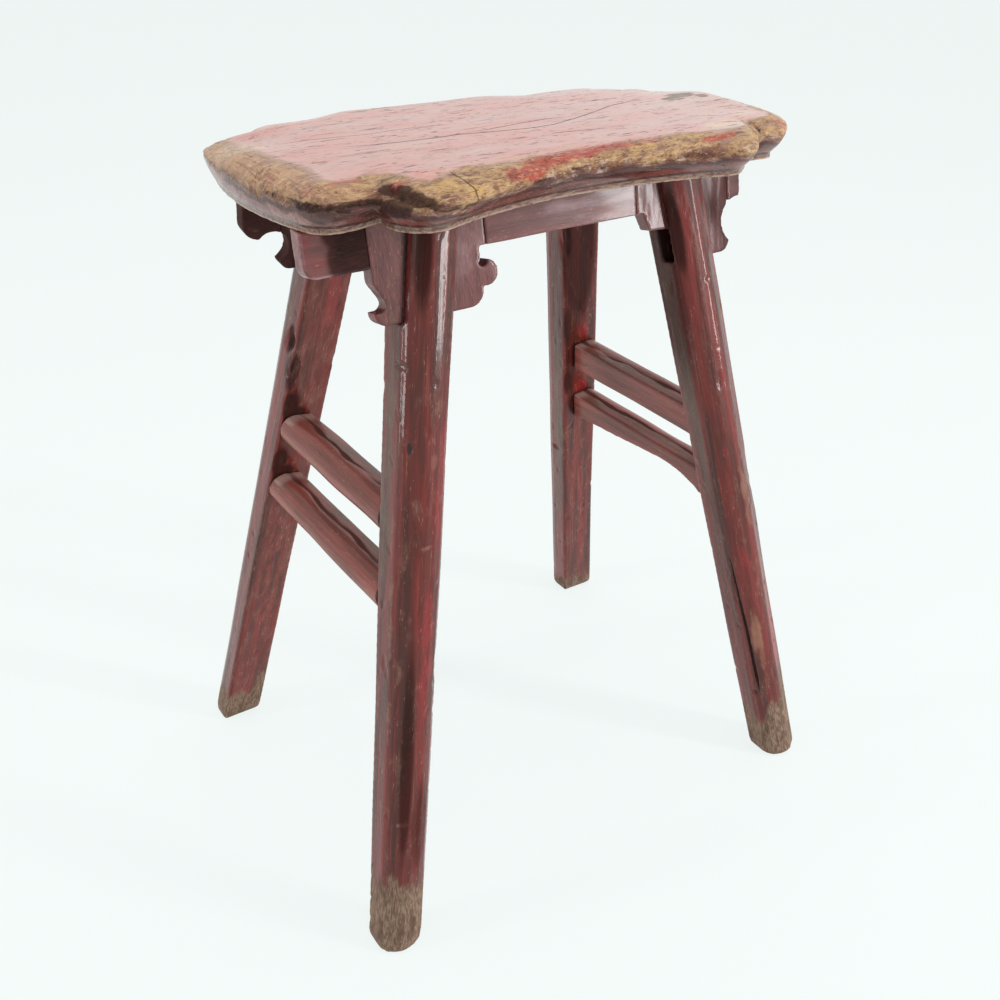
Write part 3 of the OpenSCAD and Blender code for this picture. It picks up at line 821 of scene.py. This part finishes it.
# %% Marks of the seat
MARK_LIMIT = 1.3
SEAT_SPOTS = {
    "coral": [((-58, -96, 499), (11, 9, 6), 0.8), ((-44, -95, 499), (15, 10, 8), 1.0),
        ((-30, -88, 502), (26, 9, 6), 1.1), ((-6, -85, 503), (28, 8, 6), 1.15),
        ((22, -84, 504), (26, 7, 5), 0.9), ((44, -85, 504), (24, 6, 5), 0.55),
        ((96, -97, 503), (24, 5, 4), 1.1), ((167, -82, 501), (9, 10, 7), 1.2),
        ((-132, -90, 503), (14, 6, 4), 0.85), ((-156, -76, 504.5), (22, 4, 3), 0.8),
        ((-180, -36, 501), (6, 10, 4), 0.8), ((-152, -86, 492.5), (12, 5, 4), 1.1),
        ((-172, -70, 500), (4, 6, 4), 0.9)],
    "maroon": [((-178, 10, 496), (14, 70, 4.5), 0.75), ((-40, -98, 495), (40, 9, 5), 0.45),
        ((80, -102, 495.5), (38, 8, 5), 1.3), ((-140, -87, 497), (10, 9, 9), 0.9),
        ((4, -94, 495), (52, 7, 4.5), 0.8)],
    # The dark spots are mostly painted shade, in the hollows of the front left corner and the notch and along
    # the lower edge of the band, with a crack at the right notch.
    "dark": [((-180, -44, 494.5), (9, 20, 4), 0.6), ((-176, -62, 495), (8, 12, 4), 0.8),
        ((-174, -76, 493.5), (22, 18, 4.5), 0.95), ((-162, -86, 494), (20, 10, 4.5), 1.0),
        ((-150, -90, 494.5), (18, 9, 4.5), 1.1), ((-137, -89, 501.5), (10, 9, 6), 1.1),
        ((-131, -96, 502), (11, 9, 6), 1.3), ((-130, -103, 499), (12, 10, 7), 1.4),
        ((-124, -109, 496), (12, 9, 6), 1.3), ((-116, -112, 493), (12, 7, 3.5), 0.9),
        ((-135, -98, 493), (16, 13, 9), 1.3), ((-110, -113, 491.5), (20, 6, 3), 0.75),
        ((-90, -110, 490), (22, 6, 3), 0.8), ((-14, -94, 495), (13, 5, 4), 0.7),
        ((8, -94, 494.5), (13, 5, 3.5), 0.7), ((-36, -97, 493), (16, 5, 3.5), 0.75),
        ((72, -101, 495), (20, 5, 3), 0.6), ((93, -106, 492), (16, 6, 4), 0.5),
        ((141, -83, 494), (4.5, 4.5, 13), 1.3)],
    "ochre": [((-165, 10, 503), (26, 70, 9), 0.5), ((-160, -76, 502), (20, 12, 6), 0.7),
        ((-146, -82, 502), (10, 8, 4), 0.8), ((-108, -100, 501), (20, 12, 6), 1.1),
        ((-90, -104, 498), (12, 9, 7), 0.8), ((40, -90, 502), (16, 6, 4), 0.7),
        ((128, -98, 500), (14, 12, 7), 1.0), ((76, -90, 504), (30, 5, 3), 0.8),
        ((158, -74, 502), (14, 9, 6), 1.0)],
    "cream": [((120, -78, 505), (32, 11, 6), 1.2), ((150, -60, 504), (16, 12, 6), 0.8),
        ((-168, 34, 504), (20, 40, 8), 1.0), ((-100, -84, 505), (26, 7, 5), 0.5),
        ((-148, -72, 505), (18, 5, 3), 0.5)],
    "scar": [((153, 6, 505), (18, 12, 9), 1.0), ((140, 0, 505), (14, 8, 9), 0.9),
        ((164, -2, 505), (12, 8, 9), 0.8)]}
SEAT_CUTS = [((-182, -46, 496), (7, 16, 4), 1.0), ((-173, -69, 503), (5, 4, 3), 0.8),
             ((-182, -61, 493.5), (9, 9, 4), 1.8), ((-170, -80, 494), (13, 8, 4), 2.0),
             ((-152, -90, 494), (14, 7, 4), 1.8), ((-134, -94, 500), (7, 8, 7), 3.2),
             ((-130, -101, 498), (8, 8, 6), 3.0), ((-125, -109, 494.5), (11, 6, 5), 2.2),
             ((-14, -94, 495), (11, 5, 4), 1.2), ((8, -94, 494), (11, 5, 4), 1.1),
             ((72, -101, 495), (16, 5, 4), 1.4), ((141, -83, 494), (5, 5, 14), 1.4),
             ((96, -97, 503), (22, 4, 3), 0.9), ((30, -90, 500), (8, 5, 4), 0.9),
             ((-176, -66, 500), (6, 6, 5), -1.6), ((-158, -80, 500), (9, 8, 5), -1.3),
             ((-145, -84, 500), (7, 7, 5), -1.1), ((-112, -104, 499), (16, 8, 6), -1.4),
             ((-86, -102, 499), (9, 7, 6), -1.0)]
print("spots on the seat:", {name: len(rows) for name, rows in SEAT_SPOTS.items()})

# %% [markdown]
# The bare band follows the rim: `inside - reach` is how far a point lies past
# its inner edge, and `border` is the height of its lower edge. Both wander with
# the noise. The band is broad at the left end and over the front lobes, where
# it is worn most. Under it lies a line of painted shade, under the lip of the band.

# %% The bare band
BAND_REACH, BAND_BORDER, LIP_DROP = 4, 15.5, 2.5
left_lobe = spot(at, (-105, -98, 500), (62, 50, 40))
right_lobe = spot(at, (100, -95, 500), (60, 40, 40))
left_end = ramp(-140, -172, x) * ramp(-84, -36, y)
right_end = ramp(140, 168, x)
marks = {}
add_spots(marks, at, SEAT_SPOTS)
ragged = grain_noise(at, (20, 11, 11), 5)
reach = (BAND_REACH + 9 * ramp(30, -60, y) + 15 * left_end + 5 * right_end
         + 9 * left_lobe + 4 * right_lobe + 3.5 * ragged)
fade = 4 + 12 * left_end
border = BAND_BORDER + 2.2 * ragged - 3 * left_lobe - 1.5 * right_lobe
band = (1 - ramp(-fade, fade, inside - reach)) * ramp(-2.6, 2.6, height - border)
fringe = 1 - ramp(-4, 16 + 12 * left_end, inside - reach)
low = 1 - ramp(0, 7, height - border)
# painted shade under the lip of the band, broader and darker at the front left corner
corner = spot(at, (-165, -84, 493), (45, 32, 20))
lip = bell(height - border + LIP_DROP, 2.4 + 2 * corner) * ramp(40, 0, y) * (1 + 0.5 * corner)
print("points in the band:", int((band > 0.5).sum()))

# %% Lower the back and narrow the right end
MOST_LOWERED = 7
upper = ramp(14, 26, height)
back_end = ramp(120, 165, np.abs(x)) * ramp(5, 55, y)
back_right = ramp(20, 80, x) * ramp(45, 85, y)
back_left = spot(at, (-115, 95, 500), (48, 34, 40))
lowered = upper * np.clip(6 * back_end + 4.5 * back_right + 3.5 * back_left, 0, MOST_LOWERED)
flank = 0.5 + 0.5 * ramp(0, 8, height)
narrow = (6.5 + 3.5 * ramp(22, 12, height)) * ramp(108, 138, x) * ramp(-86, -96, y)
narrow += ramp(150, 182, x) * (4 + 5 * ramp(24, 14, height))
at[:, 2] -= lowered
at[:, 0] -= flank * narrow
print("lowered up to", round(lowered.max(), 1), "mm, narrowed up to", round((flank * narrow).max(), 1))

# %% Carve lumps, cuts and hollows
calm = (1 - 0.75 * ramp(-30, 30, y)) * (1 - 0.6 * ramp(60, 105, x))
lumps = 0.9 * grain_noise(at, (22, 22, 13), 2) + 0.6 * grain_noise(at, (9, 7, 6), 3)
lumps += 0.3 * grain_noise(at, (5, 3, 3), 4)
depth = band * (0.55 - lumps * calm * (1 + 0.5 * left_lobe)) * 0.8
depth += left_end * band * 0.5 * grain_noise(at, (3.2, 34, 2.2), 9)
for centre, radii, cut in SEAT_CUTS:
    depth += cut * spot(at, centre, radii)
dished = 0.35 * grain_noise(at, (45, 22, 30), 6) * ramp(18, 30, inside) * (height > 20)
side_wave = 0.3 * calm * grain_noise(at, (35, 35, 14), 7) * ramp(5, 9, height) * (1 - band)
depth += np.clip(dished, -0.1, 0.5) - side_wave
at -= normals(seat) * (depth * ramp(1.5, 4, height))[:, None]
at[:, 2] = np.minimum(at[:, 2], SEAT_UNDER + SEAT_THICKNESS)
set_points(seat, at)
print("carved up to", round(depth.max(), 1), "mm deep")

# %% [markdown]
# Long cracks run through the lacquer of the top, and a scar of bare wood lies
# near the right end. Carved cracks would need a far finer mesh, because a
# crack is thinner than its faces. So the points only store how far to the
# side of its line they lie. That changes evenly over the mesh, and the
# material can cut a sharp thin line out of it.

# %% Cracks of the top
CRACKS = {
    "crack_long": ([(-126, -8), (-105, -13), (-86, -15.5), (-59, -16.5), (-45, -16), (-19, -22), (1, -25),
                    (21, -23.5), (43, -16), (68, -6), (85, 2.5), (108, 8), (126, 16)], 0.75, 30),
    "crack_second": ([(-34, -15), (-22, -14), (-9, -12), (4, -9.7), (24, -8.3), (42, -10.5)], 0.7, 14),
    "crack_back": ([(60, 53), (70, 56), (83, 60.5), (101, 62.5), (112, 62)], 0.8, 12),
    "crack_front": ([(2, -43.5), (7, -44), (20, -46), (35, -48.5), (44, -49)], 0.7, 9),
    "crack_left": ([(-158, 22), (-130, 19), (-96, 14), (-60, 15), (-30, 11)], 0.5, 34)}
LOBE_CRACK = [(-115, -88.4), (-108.6, -90.2), (-101, -90.8), (-92.4, -93), (-86, -95)]
TOP_FROM, LOBE_FROM = 22, 12  # heights over the underside where these cracks begin
near_crack = np.zeros(len(at))
for name, (path, half_width, fade) in CRACKS.items():
    offset, near = line_offset(x, y, path, half_width, fade)
    mark(seat, name, offset)
    near_crack = np.maximum(near_crack, near * (height > TOP_FROM))
offset, near_lobe_crack = line_offset(y, x, LOBE_CRACK, 0.6, 5)
mark(seat, "crack_lobe", offset)
zones = {"height": height, "band": band, "fringe": fringe, "low": low, "lip": lip,
         "near_crack": near_crack, "near_lobe_crack": near_lobe_crack * (height > LOBE_FROM)}
for name, values in zones.items():
    mark(seat, name, values)
for name in SEAT_SPOTS:
    mark(seat, name, np.clip(marks[name], 0, MARK_LIMIT))
print("seat carved,", len(seat.data.polygons), "faces")

# %% [markdown]
# ## The worn lacquer
# The lacquer is a deep maroon that has turned brown in long streaks along the
# grain, with brighter red where it was protected. It is still glossy, so its
# ridges shine, and grey grime lies over it. A picture of old lacquer could be
# wrapped round each piece, but noises that read its grain never repeat and
# have no seam. One recipe makes the three finishes of the legs, the boards and
# the stretchers, which differ in tone.

# %% Lacquer recipe
def lacquer(name, maroon, brown, pale_wear_and_sheen, roughness, shine):
    finish = Finish(name)
    along = finish.attribute("grain", "Vector")
    foot, bare, red, dark, grey, pale, dirt_and_shade = (finish.attribute(m) for m in MARKS)
    wide, fine, blotch, speck = (finish.noise(along, *pattern) for pattern in (
        ((8, 8, 120), 4.0, 0.6), ((1.6, 1.6, 45), 4.0, 0.65),
        ((8, 8, 20), 5.0, 0.65), ((0.9, 0.9, 5), 3.0, 0.6)))
    uneven = (blotch - 0.5) * 2 + (fine - 0.5)
    flecks = speck.step(0.62, 0.68) * blotch.step(0.42, 0.58)
    worn_through = (bare + uneven * 1.2).step(0.3, 1.15)
    dirt_and_shade_mask = (dirt_and_shade + (wide - 0.5) * 0.8).step(0.15, 0.8)
    trodden = (foot + uneven).step(0.2, 0.95)
    crack = 1 - abs(finish.attribute("crack") + (speck - 0.5) * 1.4).step(0.6, 1.15)
    crack = crack * finish.attribute("near_crack")
    grime = finish.mix(speck.step(0.4, 0.62), (118, 94, 78), (160, 134, 114))
    grime = finish.mix(blotch.step(0.48, 0.62) * 0.65, grime, (92, 66, 54))
    colour = finish.cover(finish.mix(wide.step(0.36, 0.64), brown, maroon), [
        (fine.step(0.52, 0.72) * 0.45, (56, 25, 21)),  # dark pores
        ((1 - fine).step(0.54, 0.72) * 0.4, (164, 88, 74)),  # ridges rubbed light
        (blotch.step(0.52, 0.7) * 0.3, (142, 96, 84)),  # dull blotches
        ((red + uneven).step(0.4, 1.0) * 0.7, (150, 36, 38)),  # fresh red
        ((grey + uneven).step(0.35, 1.0) * 0.65, (102, 78, 64)),  # grime
        # pale wear and dust, and painted sheen on the boards
        ((pale + (blotch - 0.5)).step(0.2, 1.1) * 0.75, pale_wear_and_sheen),
        (flecks * 0.5, (196, 150, 132)),  # small chips
        (worn_through * 0.75, (160, 108, 84)),  # bare wood
        # painted shade on the legs and boards, and dark dirt on the stretchers
        (dirt_and_shade_mask * 0.8, (46, 24, 20)),
        # dark joints, cracks and holes, and the painted shadow along the top of the front apron
        ((dark + (speck - 0.5) + (blotch - 0.5)).step(0.3, 0.9) * 0.88, (28, 14, 11)),
        (trodden, grime),
        (crack * 0.9, (22, 11, 9))])
    rough = roughness + fine * 0.14 + trodden * 0.35 + worn_through * 0.15 + dirt_and_shade_mask * 0.4
    relief = fine * 0.75 + wide * 0.4 + speck * 0.6 - crack * 1.5 + blotch * 0.7
    finish.set(Base_Color=colour, Roughness=rough, Normal=finish.bump(relief, 0.6, 0.0007))
    finish.set(Coat_Weight=(1 - (trodden | dirt_and_shade_mask | crack)) * shine, Coat_Roughness=0.12)
    finish.set(Coat_IOR=1.5, Specular_IOR_Level=0.2)
    print(name, len(finish.tree.nodes), "nodes")
    return finish.material


# %% Finishes of legs, boards and stretchers
# Each row: the maroon, the brown, the pale colour of wear and painted sheen, the roughness and the shine
LACQUERS = {"leg": ((128, 40, 33), (78, 34, 25), (160, 100, 88), 0.25, 0.46),
            "board": ((124, 72, 70), (104, 60, 58), (188, 156, 160), 0.3, 0.4),
            "stretcher": ((156, 82, 72), (120, 66, 57), (190, 160, 150), 0.34, 0.3)}
for kind, pieces in (("leg", legs), ("board", boards), ("stretcher", stretchers)):
    finish = lacquer(kind + "_lacquer", *LACQUERS[kind])
    for node, piece in pieces.items():
        place(piece, node, finish)

# %% [markdown]
# ## The finish of the seat
# The seat has four zones. The top is rubbed to a dusty pink, with cracks and
# many short dark dashes along the grain. Round it runs the bare band, ochre
# and tan wood with red left in its hollows and dark pits. The face under the
# band is still glossy brown red, and the bead at the bottom has a pale edge.
# Four materials on four sets of faces would meet in hard lines. One material
# with a mask for each zone lets them run into each other. Its patterns are
# noises of many sizes in millimetres: round ones, and ones that are stretched
# along the grain. `rings` is stretched across it, as on sawn end wood.

# %% Patterns of the seat
seat_finish = Finish("seat_lacquer")
wood = seat_finish.node("ShaderNodeTexCoord", {}, {}, "Object")
height, band, fringe, low, lip = (seat_finish.attribute(m) for m in list(zones)[:5])
coral, maroon, dark, ochre, cream, scar = (seat_finish.attribute(m) for m in SEAT_SPOTS)
cloud, patch, lump, crumb, speck = (seat_finish.noise(wood, *pattern) for pattern in (
    ((70, 26, 30), 4.0, 0.6), ((34, 13, 14), 4.0, 0.6), ((7, 4, 4), 4.0, 0.65),
    ((3.2, 1.8, 1.8), 4.0, 0.7), ((1.6, 1.1, 1.2), 3.0, 0.6)))
grain_line, hair, nick, dash, rings = (seat_finish.noise(wood, *pattern) for pattern in (
    ((60, 2.4, 5), 3.0, 0.6), ((90, 8, 10), 2.0, 0.5), ((13, 1.7, 1.8), 1.5, 0.5),
    ((9, 0.9, 1.6), 2.5, 0.6), ((2.6, 30, 1.8), 3.0, 0.6, 0.5)))
along_seat = seat_finish.node("ShaderNodeSeparateXYZ", {}, {0: wood})
end_wood = abs(along_seat).step(0.140, 0.172)
ragged = (lump - 0.5) * 2 + (crumb - 0.5) + (dash - 0.5)
flecks = (crumb - 0.5) * 2.5 + (dash - 0.5) * 1.5
dashes = nick.step(0.66, 0.7) * (0.35 + patch.step(0.42, 0.58) * 0.65)
splits = hair.line(0.5, 0.01) * patch.step(0.48, 0.6) * 0.7
# A crack is sharp where its stored offset is small, and the specks make it waver.
for name in (*CRACKS, "crack_lobe"):
    edge = abs(seat_finish.attribute(name) + (speck - 0.5) * 1.5)
    near = seat_finish.attribute("near_lobe_crack" if name == "crack_lobe" else "near_crack")
    splits = splits | (1 - edge.step(0.55, 1.1)) * near

# %% Pink top
top = seat_finish.mix(cloud.step(0.36, 0.64), (216, 154, 146), (212, 168, 160))
old_wood = seat_finish.mix(dash.step(0.42, 0.58), (160, 140, 124), (112, 94, 82))
scarred = (scar + (lump - 0.5) * 2.2 + (dash - 0.5) * 2).step(0.4, 0.7)
top = seat_finish.cover(top, [
    (patch.step(0.5, 0.72) * 0.6, (220, 136, 126)),  # redder patches
    ((1 - patch).step(0.56, 0.74) * 0.4, (216, 186, 172)),  # paler patches
    (grain_line.step(0.5, 0.72) * 0.28, (200, 124, 110)),  # lines of the grain
    ((1 - crumb).step(0.56, 0.7) * 0.35, (232, 196, 184)),  # dusty pores
    ((fringe * 1.1 + ragged + (grain_line - 0.5) * 2).step(0.4, 1.2) * 0.7, (222, 182, 160)),  # thin edge
    ((coral * fringe + flecks * 0.5).step(0.1, 0.9) * 0.55, (206, 92, 84)),
    ((cream + ragged * 0.7).step(0.35, 1.0) * 0.7, (232, 200, 162)),
    # painted sheen: paler to the right, redder to the left
    (along_seat.step(0.0, 0.17) * 0.4, (232, 198, 188)),  # paler to the right
    ((1 - along_seat.step(-0.17, 0.02)) * 0.22, (208, 134, 118)),  # redder to the left
    (dashes * 0.85, (104, 54, 46)),
    (splits * 0.85, (92, 42, 30)),
    (scarred, old_wood)])

# %% Bare wood
pits = (speck * 0.4 + crumb * 0.7).step(0.64, 0.7)
glints = dash.step(0.58, 0.64) * (1 - pits) * (1 - end_wood)
bare = seat_finish.mix(lump.step(0.38, 0.62), (168, 122, 84), (204, 164, 118))
bare = seat_finish.cover(bare, [
    ((ochre + ragged).step(0.3, 0.9) * 0.85, (212, 166, 100)),
    ((low + ragged).step(0.45, 1.1) * 0.8, (112, 74, 54)),  # browner low on the edge
    ((cream + ragged * 0.7).step(0.3, 0.9) * 0.85, (230, 200, 160)),
    ((1 - band + ragged * 0.5).step(0.05, 0.7) * 0.8, (222, 180, 158)),  # pale towards the top
    ((coral + ragged * 0.5 + flecks * 0.6).step(0.2, 0.9) * 0.85, (188, 62, 54)),
    ((maroon + ragged).step(0.35, 1.0) * 0.8, (104, 38, 33)),
    (end_wood * (1 - low) * 0.65, (226, 178, 142)),  # lighter end wood
    (rings.step(0.52, 0.6) * end_wood * 0.5, (146, 98, 80)),  # its year rings
    ((1 - patch).step(0.5, 0.66) * 0.4, (146, 98, 62)),  # brown patches
    ((1 - lump).step(0.53, 0.63) * (1 - end_wood) * 0.6, (104, 60, 42)),  # darker between the lumps
    (lump.step(0.56, 0.68) * 0.5, (232, 196, 146)),  # painted highlights on the lumps
    ((1 - crumb).step(0.58, 0.68) * 0.28, (112, 68, 48)),  # small hollows
    (pits * 0.65, (70, 40, 30)),
    (glints * 0.45, (236, 208, 168)),
    (splits * 0.8, (84, 56, 46))])

# %% Glossy side face, bead and underside
bead = seat_finish.mix(dash.step(0.4, 0.6), (110, 74, 64), (154, 120, 104))
# a painted highlight along the lower edge of the bead
bead_highlight = (1 - height.step(0.9, 2.1)) * lump.step(0.36, 0.5)
bead = seat_finish.mix(bead_highlight * 0.8, bead, (196, 166, 146))
# painted shade in the groove above the bead
groove_shade = (height + (lump - 0.5) * 1.2).line(5.0, 1.5)
under = seat_finish.mix(grain_line.step(0.4, 0.62), (84, 54, 44), (112, 76, 62))
side = seat_finish.mix(patch.step(0.4, 0.62), (104, 50, 44), (134, 72, 64))
side = seat_finish.cover(side, [
    (grain_line.step(0.52, 0.7) * 0.35, (78, 36, 31)),
    # painted sheen on the faces of the ends
    (end_wood * (0.35 + patch.step(0.4, 0.6) * 0.4), (176, 140, 134)),
    ((coral + ragged).step(0.5, 0.9) * 0.8, (156, 48, 48)),  # red left on the side
    ((1 - crumb).step(0.6, 0.68) * 0.4, (172, 128, 112)),  # small chips
    # painted shade under the lip of the band
    ((lip + ragged * 0.6).step(0.3, 0.9) * 0.75, (60, 30, 24)),  # the dark lip
    (1 - height.step(4.2, 4.9), bead),
    (groove_shade * 0.8, (48, 26, 22)),
    (1 - height.step(0.05, 0.35), under)])

# %% Join the zones
on_top = (height + (lump - 0.5) * 2).step(18, 22)
bare_here = (band + (ragged * 0.6 + (grain_line - 0.5) * 2.2) * fringe).step(0.15, 1.0)
# painted shade from the dark spots, with a few dark marks among them
shade_and_dark_marks = (dark + ragged).step(0.25, 1.0)
shade_and_dark_colour = seat_finish.mix(crumb.step(0.42, 0.66), (42, 20, 17), (78, 38, 33))
colour = seat_finish.cover(side, [(on_top, top), (bare_here, bare), (shade_and_dark_marks * 0.9, shade_and_dark_colour)])
rough = 0.26 + on_top * 0.1 + bare_here * 0.02 + dashes * 0.15 + splits * 0.2 + scarred * 0.3 + shade_and_dark_marks * 0.3
relief = bare_here * (lump * 1.8 + crumb * 1.2 + speck * 0.5 - pits) + bare_here * end_wood * rings * 1.2
relief = relief - splits * on_top * 1.6 - dashes * 0.6 - scarred * 0.7
relief = relief + grain_line * (0.1 + on_top * 0.25) + patch * 0.3 - shade_and_dark_marks * 0.6
seat_finish.set(Base_Color=colour, Roughness=rough, Normal=seat_finish.bump(relief, 0.85, 0.0009))
seat_finish.set(Coat_Weight=(1 - (shade_and_dark_marks | bare_here * 0.55)) * 0.4, Coat_Roughness=0.16)
seat_finish.set(Coat_IOR=1.5, Specular_IOR_Level=0.22)
print("seat_lacquer", len(seat_finish.tree.nodes), "nodes")
place(seat, "seat", seat_finish.material)

# %% [markdown]
# ## Floor and light
# The stool stands on a plain pale sheet. Lamps strong enough to bleach the
# sheet would bleach the wood too. So the sheet and the air around it glow, but
# only where the camera or the gloss of the lacquer sees them, and they light
# the wood no more than a soft room would. The sheet keeps the shadows of the
# feet.

# %% Floor
PALE = (0.94, 1.0, 0.985)
FLOOR_GLOW = 0.84  # the share of the floor that glows, and leaves the rest for shadows
FLOOR_SIZE = 30


def seen_directly(tree):
    """1 for the camera, and for what gloss and glass show."""
    camera_ray, glossy_ray, glass_ray = (
        tree.node("ShaderNodeLightPath", {}, {}, kind)
        for kind in ("Is Camera Ray", "Is Glossy Ray", "Is Transmission Ray"))
    return camera_ray | glossy_ray | glass_ray


bpy.ops.object.select_all(action="DESELECT")
bpy.ops.mesh.primitive_plane_add(size=FLOOR_SIZE, location=(0, 0, 0))
floor = bpy.context.object
floor.name = "floor"
pale = Finish("pale_floor")
pale.set(Base_Color=(0.86, 0.9, 0.89), Roughness=0.9)
glow = pale.node("ShaderNodeEmission", {}, {"Color": PALE, "Strength": 1.0})
both = pale.node("ShaderNodeMixShader", {}, {0: seen_directly(pale) * FLOOR_GLOW,
                                             1: Value(pale, pale.shader.outputs[0]), 2: glow})
pale.feed(pale.out.inputs["Surface"], both)
floor.data.materials.append(pale.material)
print("floor", FLOOR_SIZE, "m wide")

# %% [markdown]
# Two soft lamps shape the wood. The tall one stands in front to the right and
# reaches down to the floor, because a leg mirrors what is low: it draws the
# bright strip on the facets. The weaker one on the left gives the thin line
# on the other edge of the legs.

# %% Lamps and world
def lamp(name, stand, aim, width, tall, power):
    """A soft oblong lamp at a stand, turned to its aim."""
    bpy.ops.object.select_all(action="DESELECT")
    bpy.ops.object.light_add(type="AREA", location=stand)
    light = bpy.context.object
    light.name = name
    light.data.shape = "RECTANGLE"
    light.data.size, light.data.size_y = width, tall
    light.data.energy = power
    light.rotation_euler = (Vector(aim) - Vector(stand)).to_track_quat("-Z", "Y").to_euler()


lamp("lamp_right", (1.35, -1.65, 0.95), (0, 0, 0.3), 0.22, 1.9, 30)
lamp("lamp_left", (-2.0, 0.5, 0.9), (0, 0, 0.3), 0.17, 1.7, 13)
lamp("lamp_above", (0.2, 0.1, 2.2), (0, 0, 0.4), 1.6, 1.6, 13)

world = bpy.data.worlds.new("studio")
bpy.context.scene.world = world
world.use_nodes = True
studio = Tree(world.node_tree)
backdrop = studio.node("ShaderNodeBackground", {}, {"Color": PALE, "Strength": 1.0})
daylight = studio.node("ShaderNodeBackground", {}, {"Color": (0.96, 0.99, 1.0), "Strength": 0.42})
air = studio.node("ShaderNodeMixShader", {}, {0: seen_directly(studio), 1: daylight, 2: backdrop})
studio.feed(world.node_tree.nodes["World Output"].inputs["Surface"], air)
bpy.context.scene.view_settings.view_transform = "Standard"
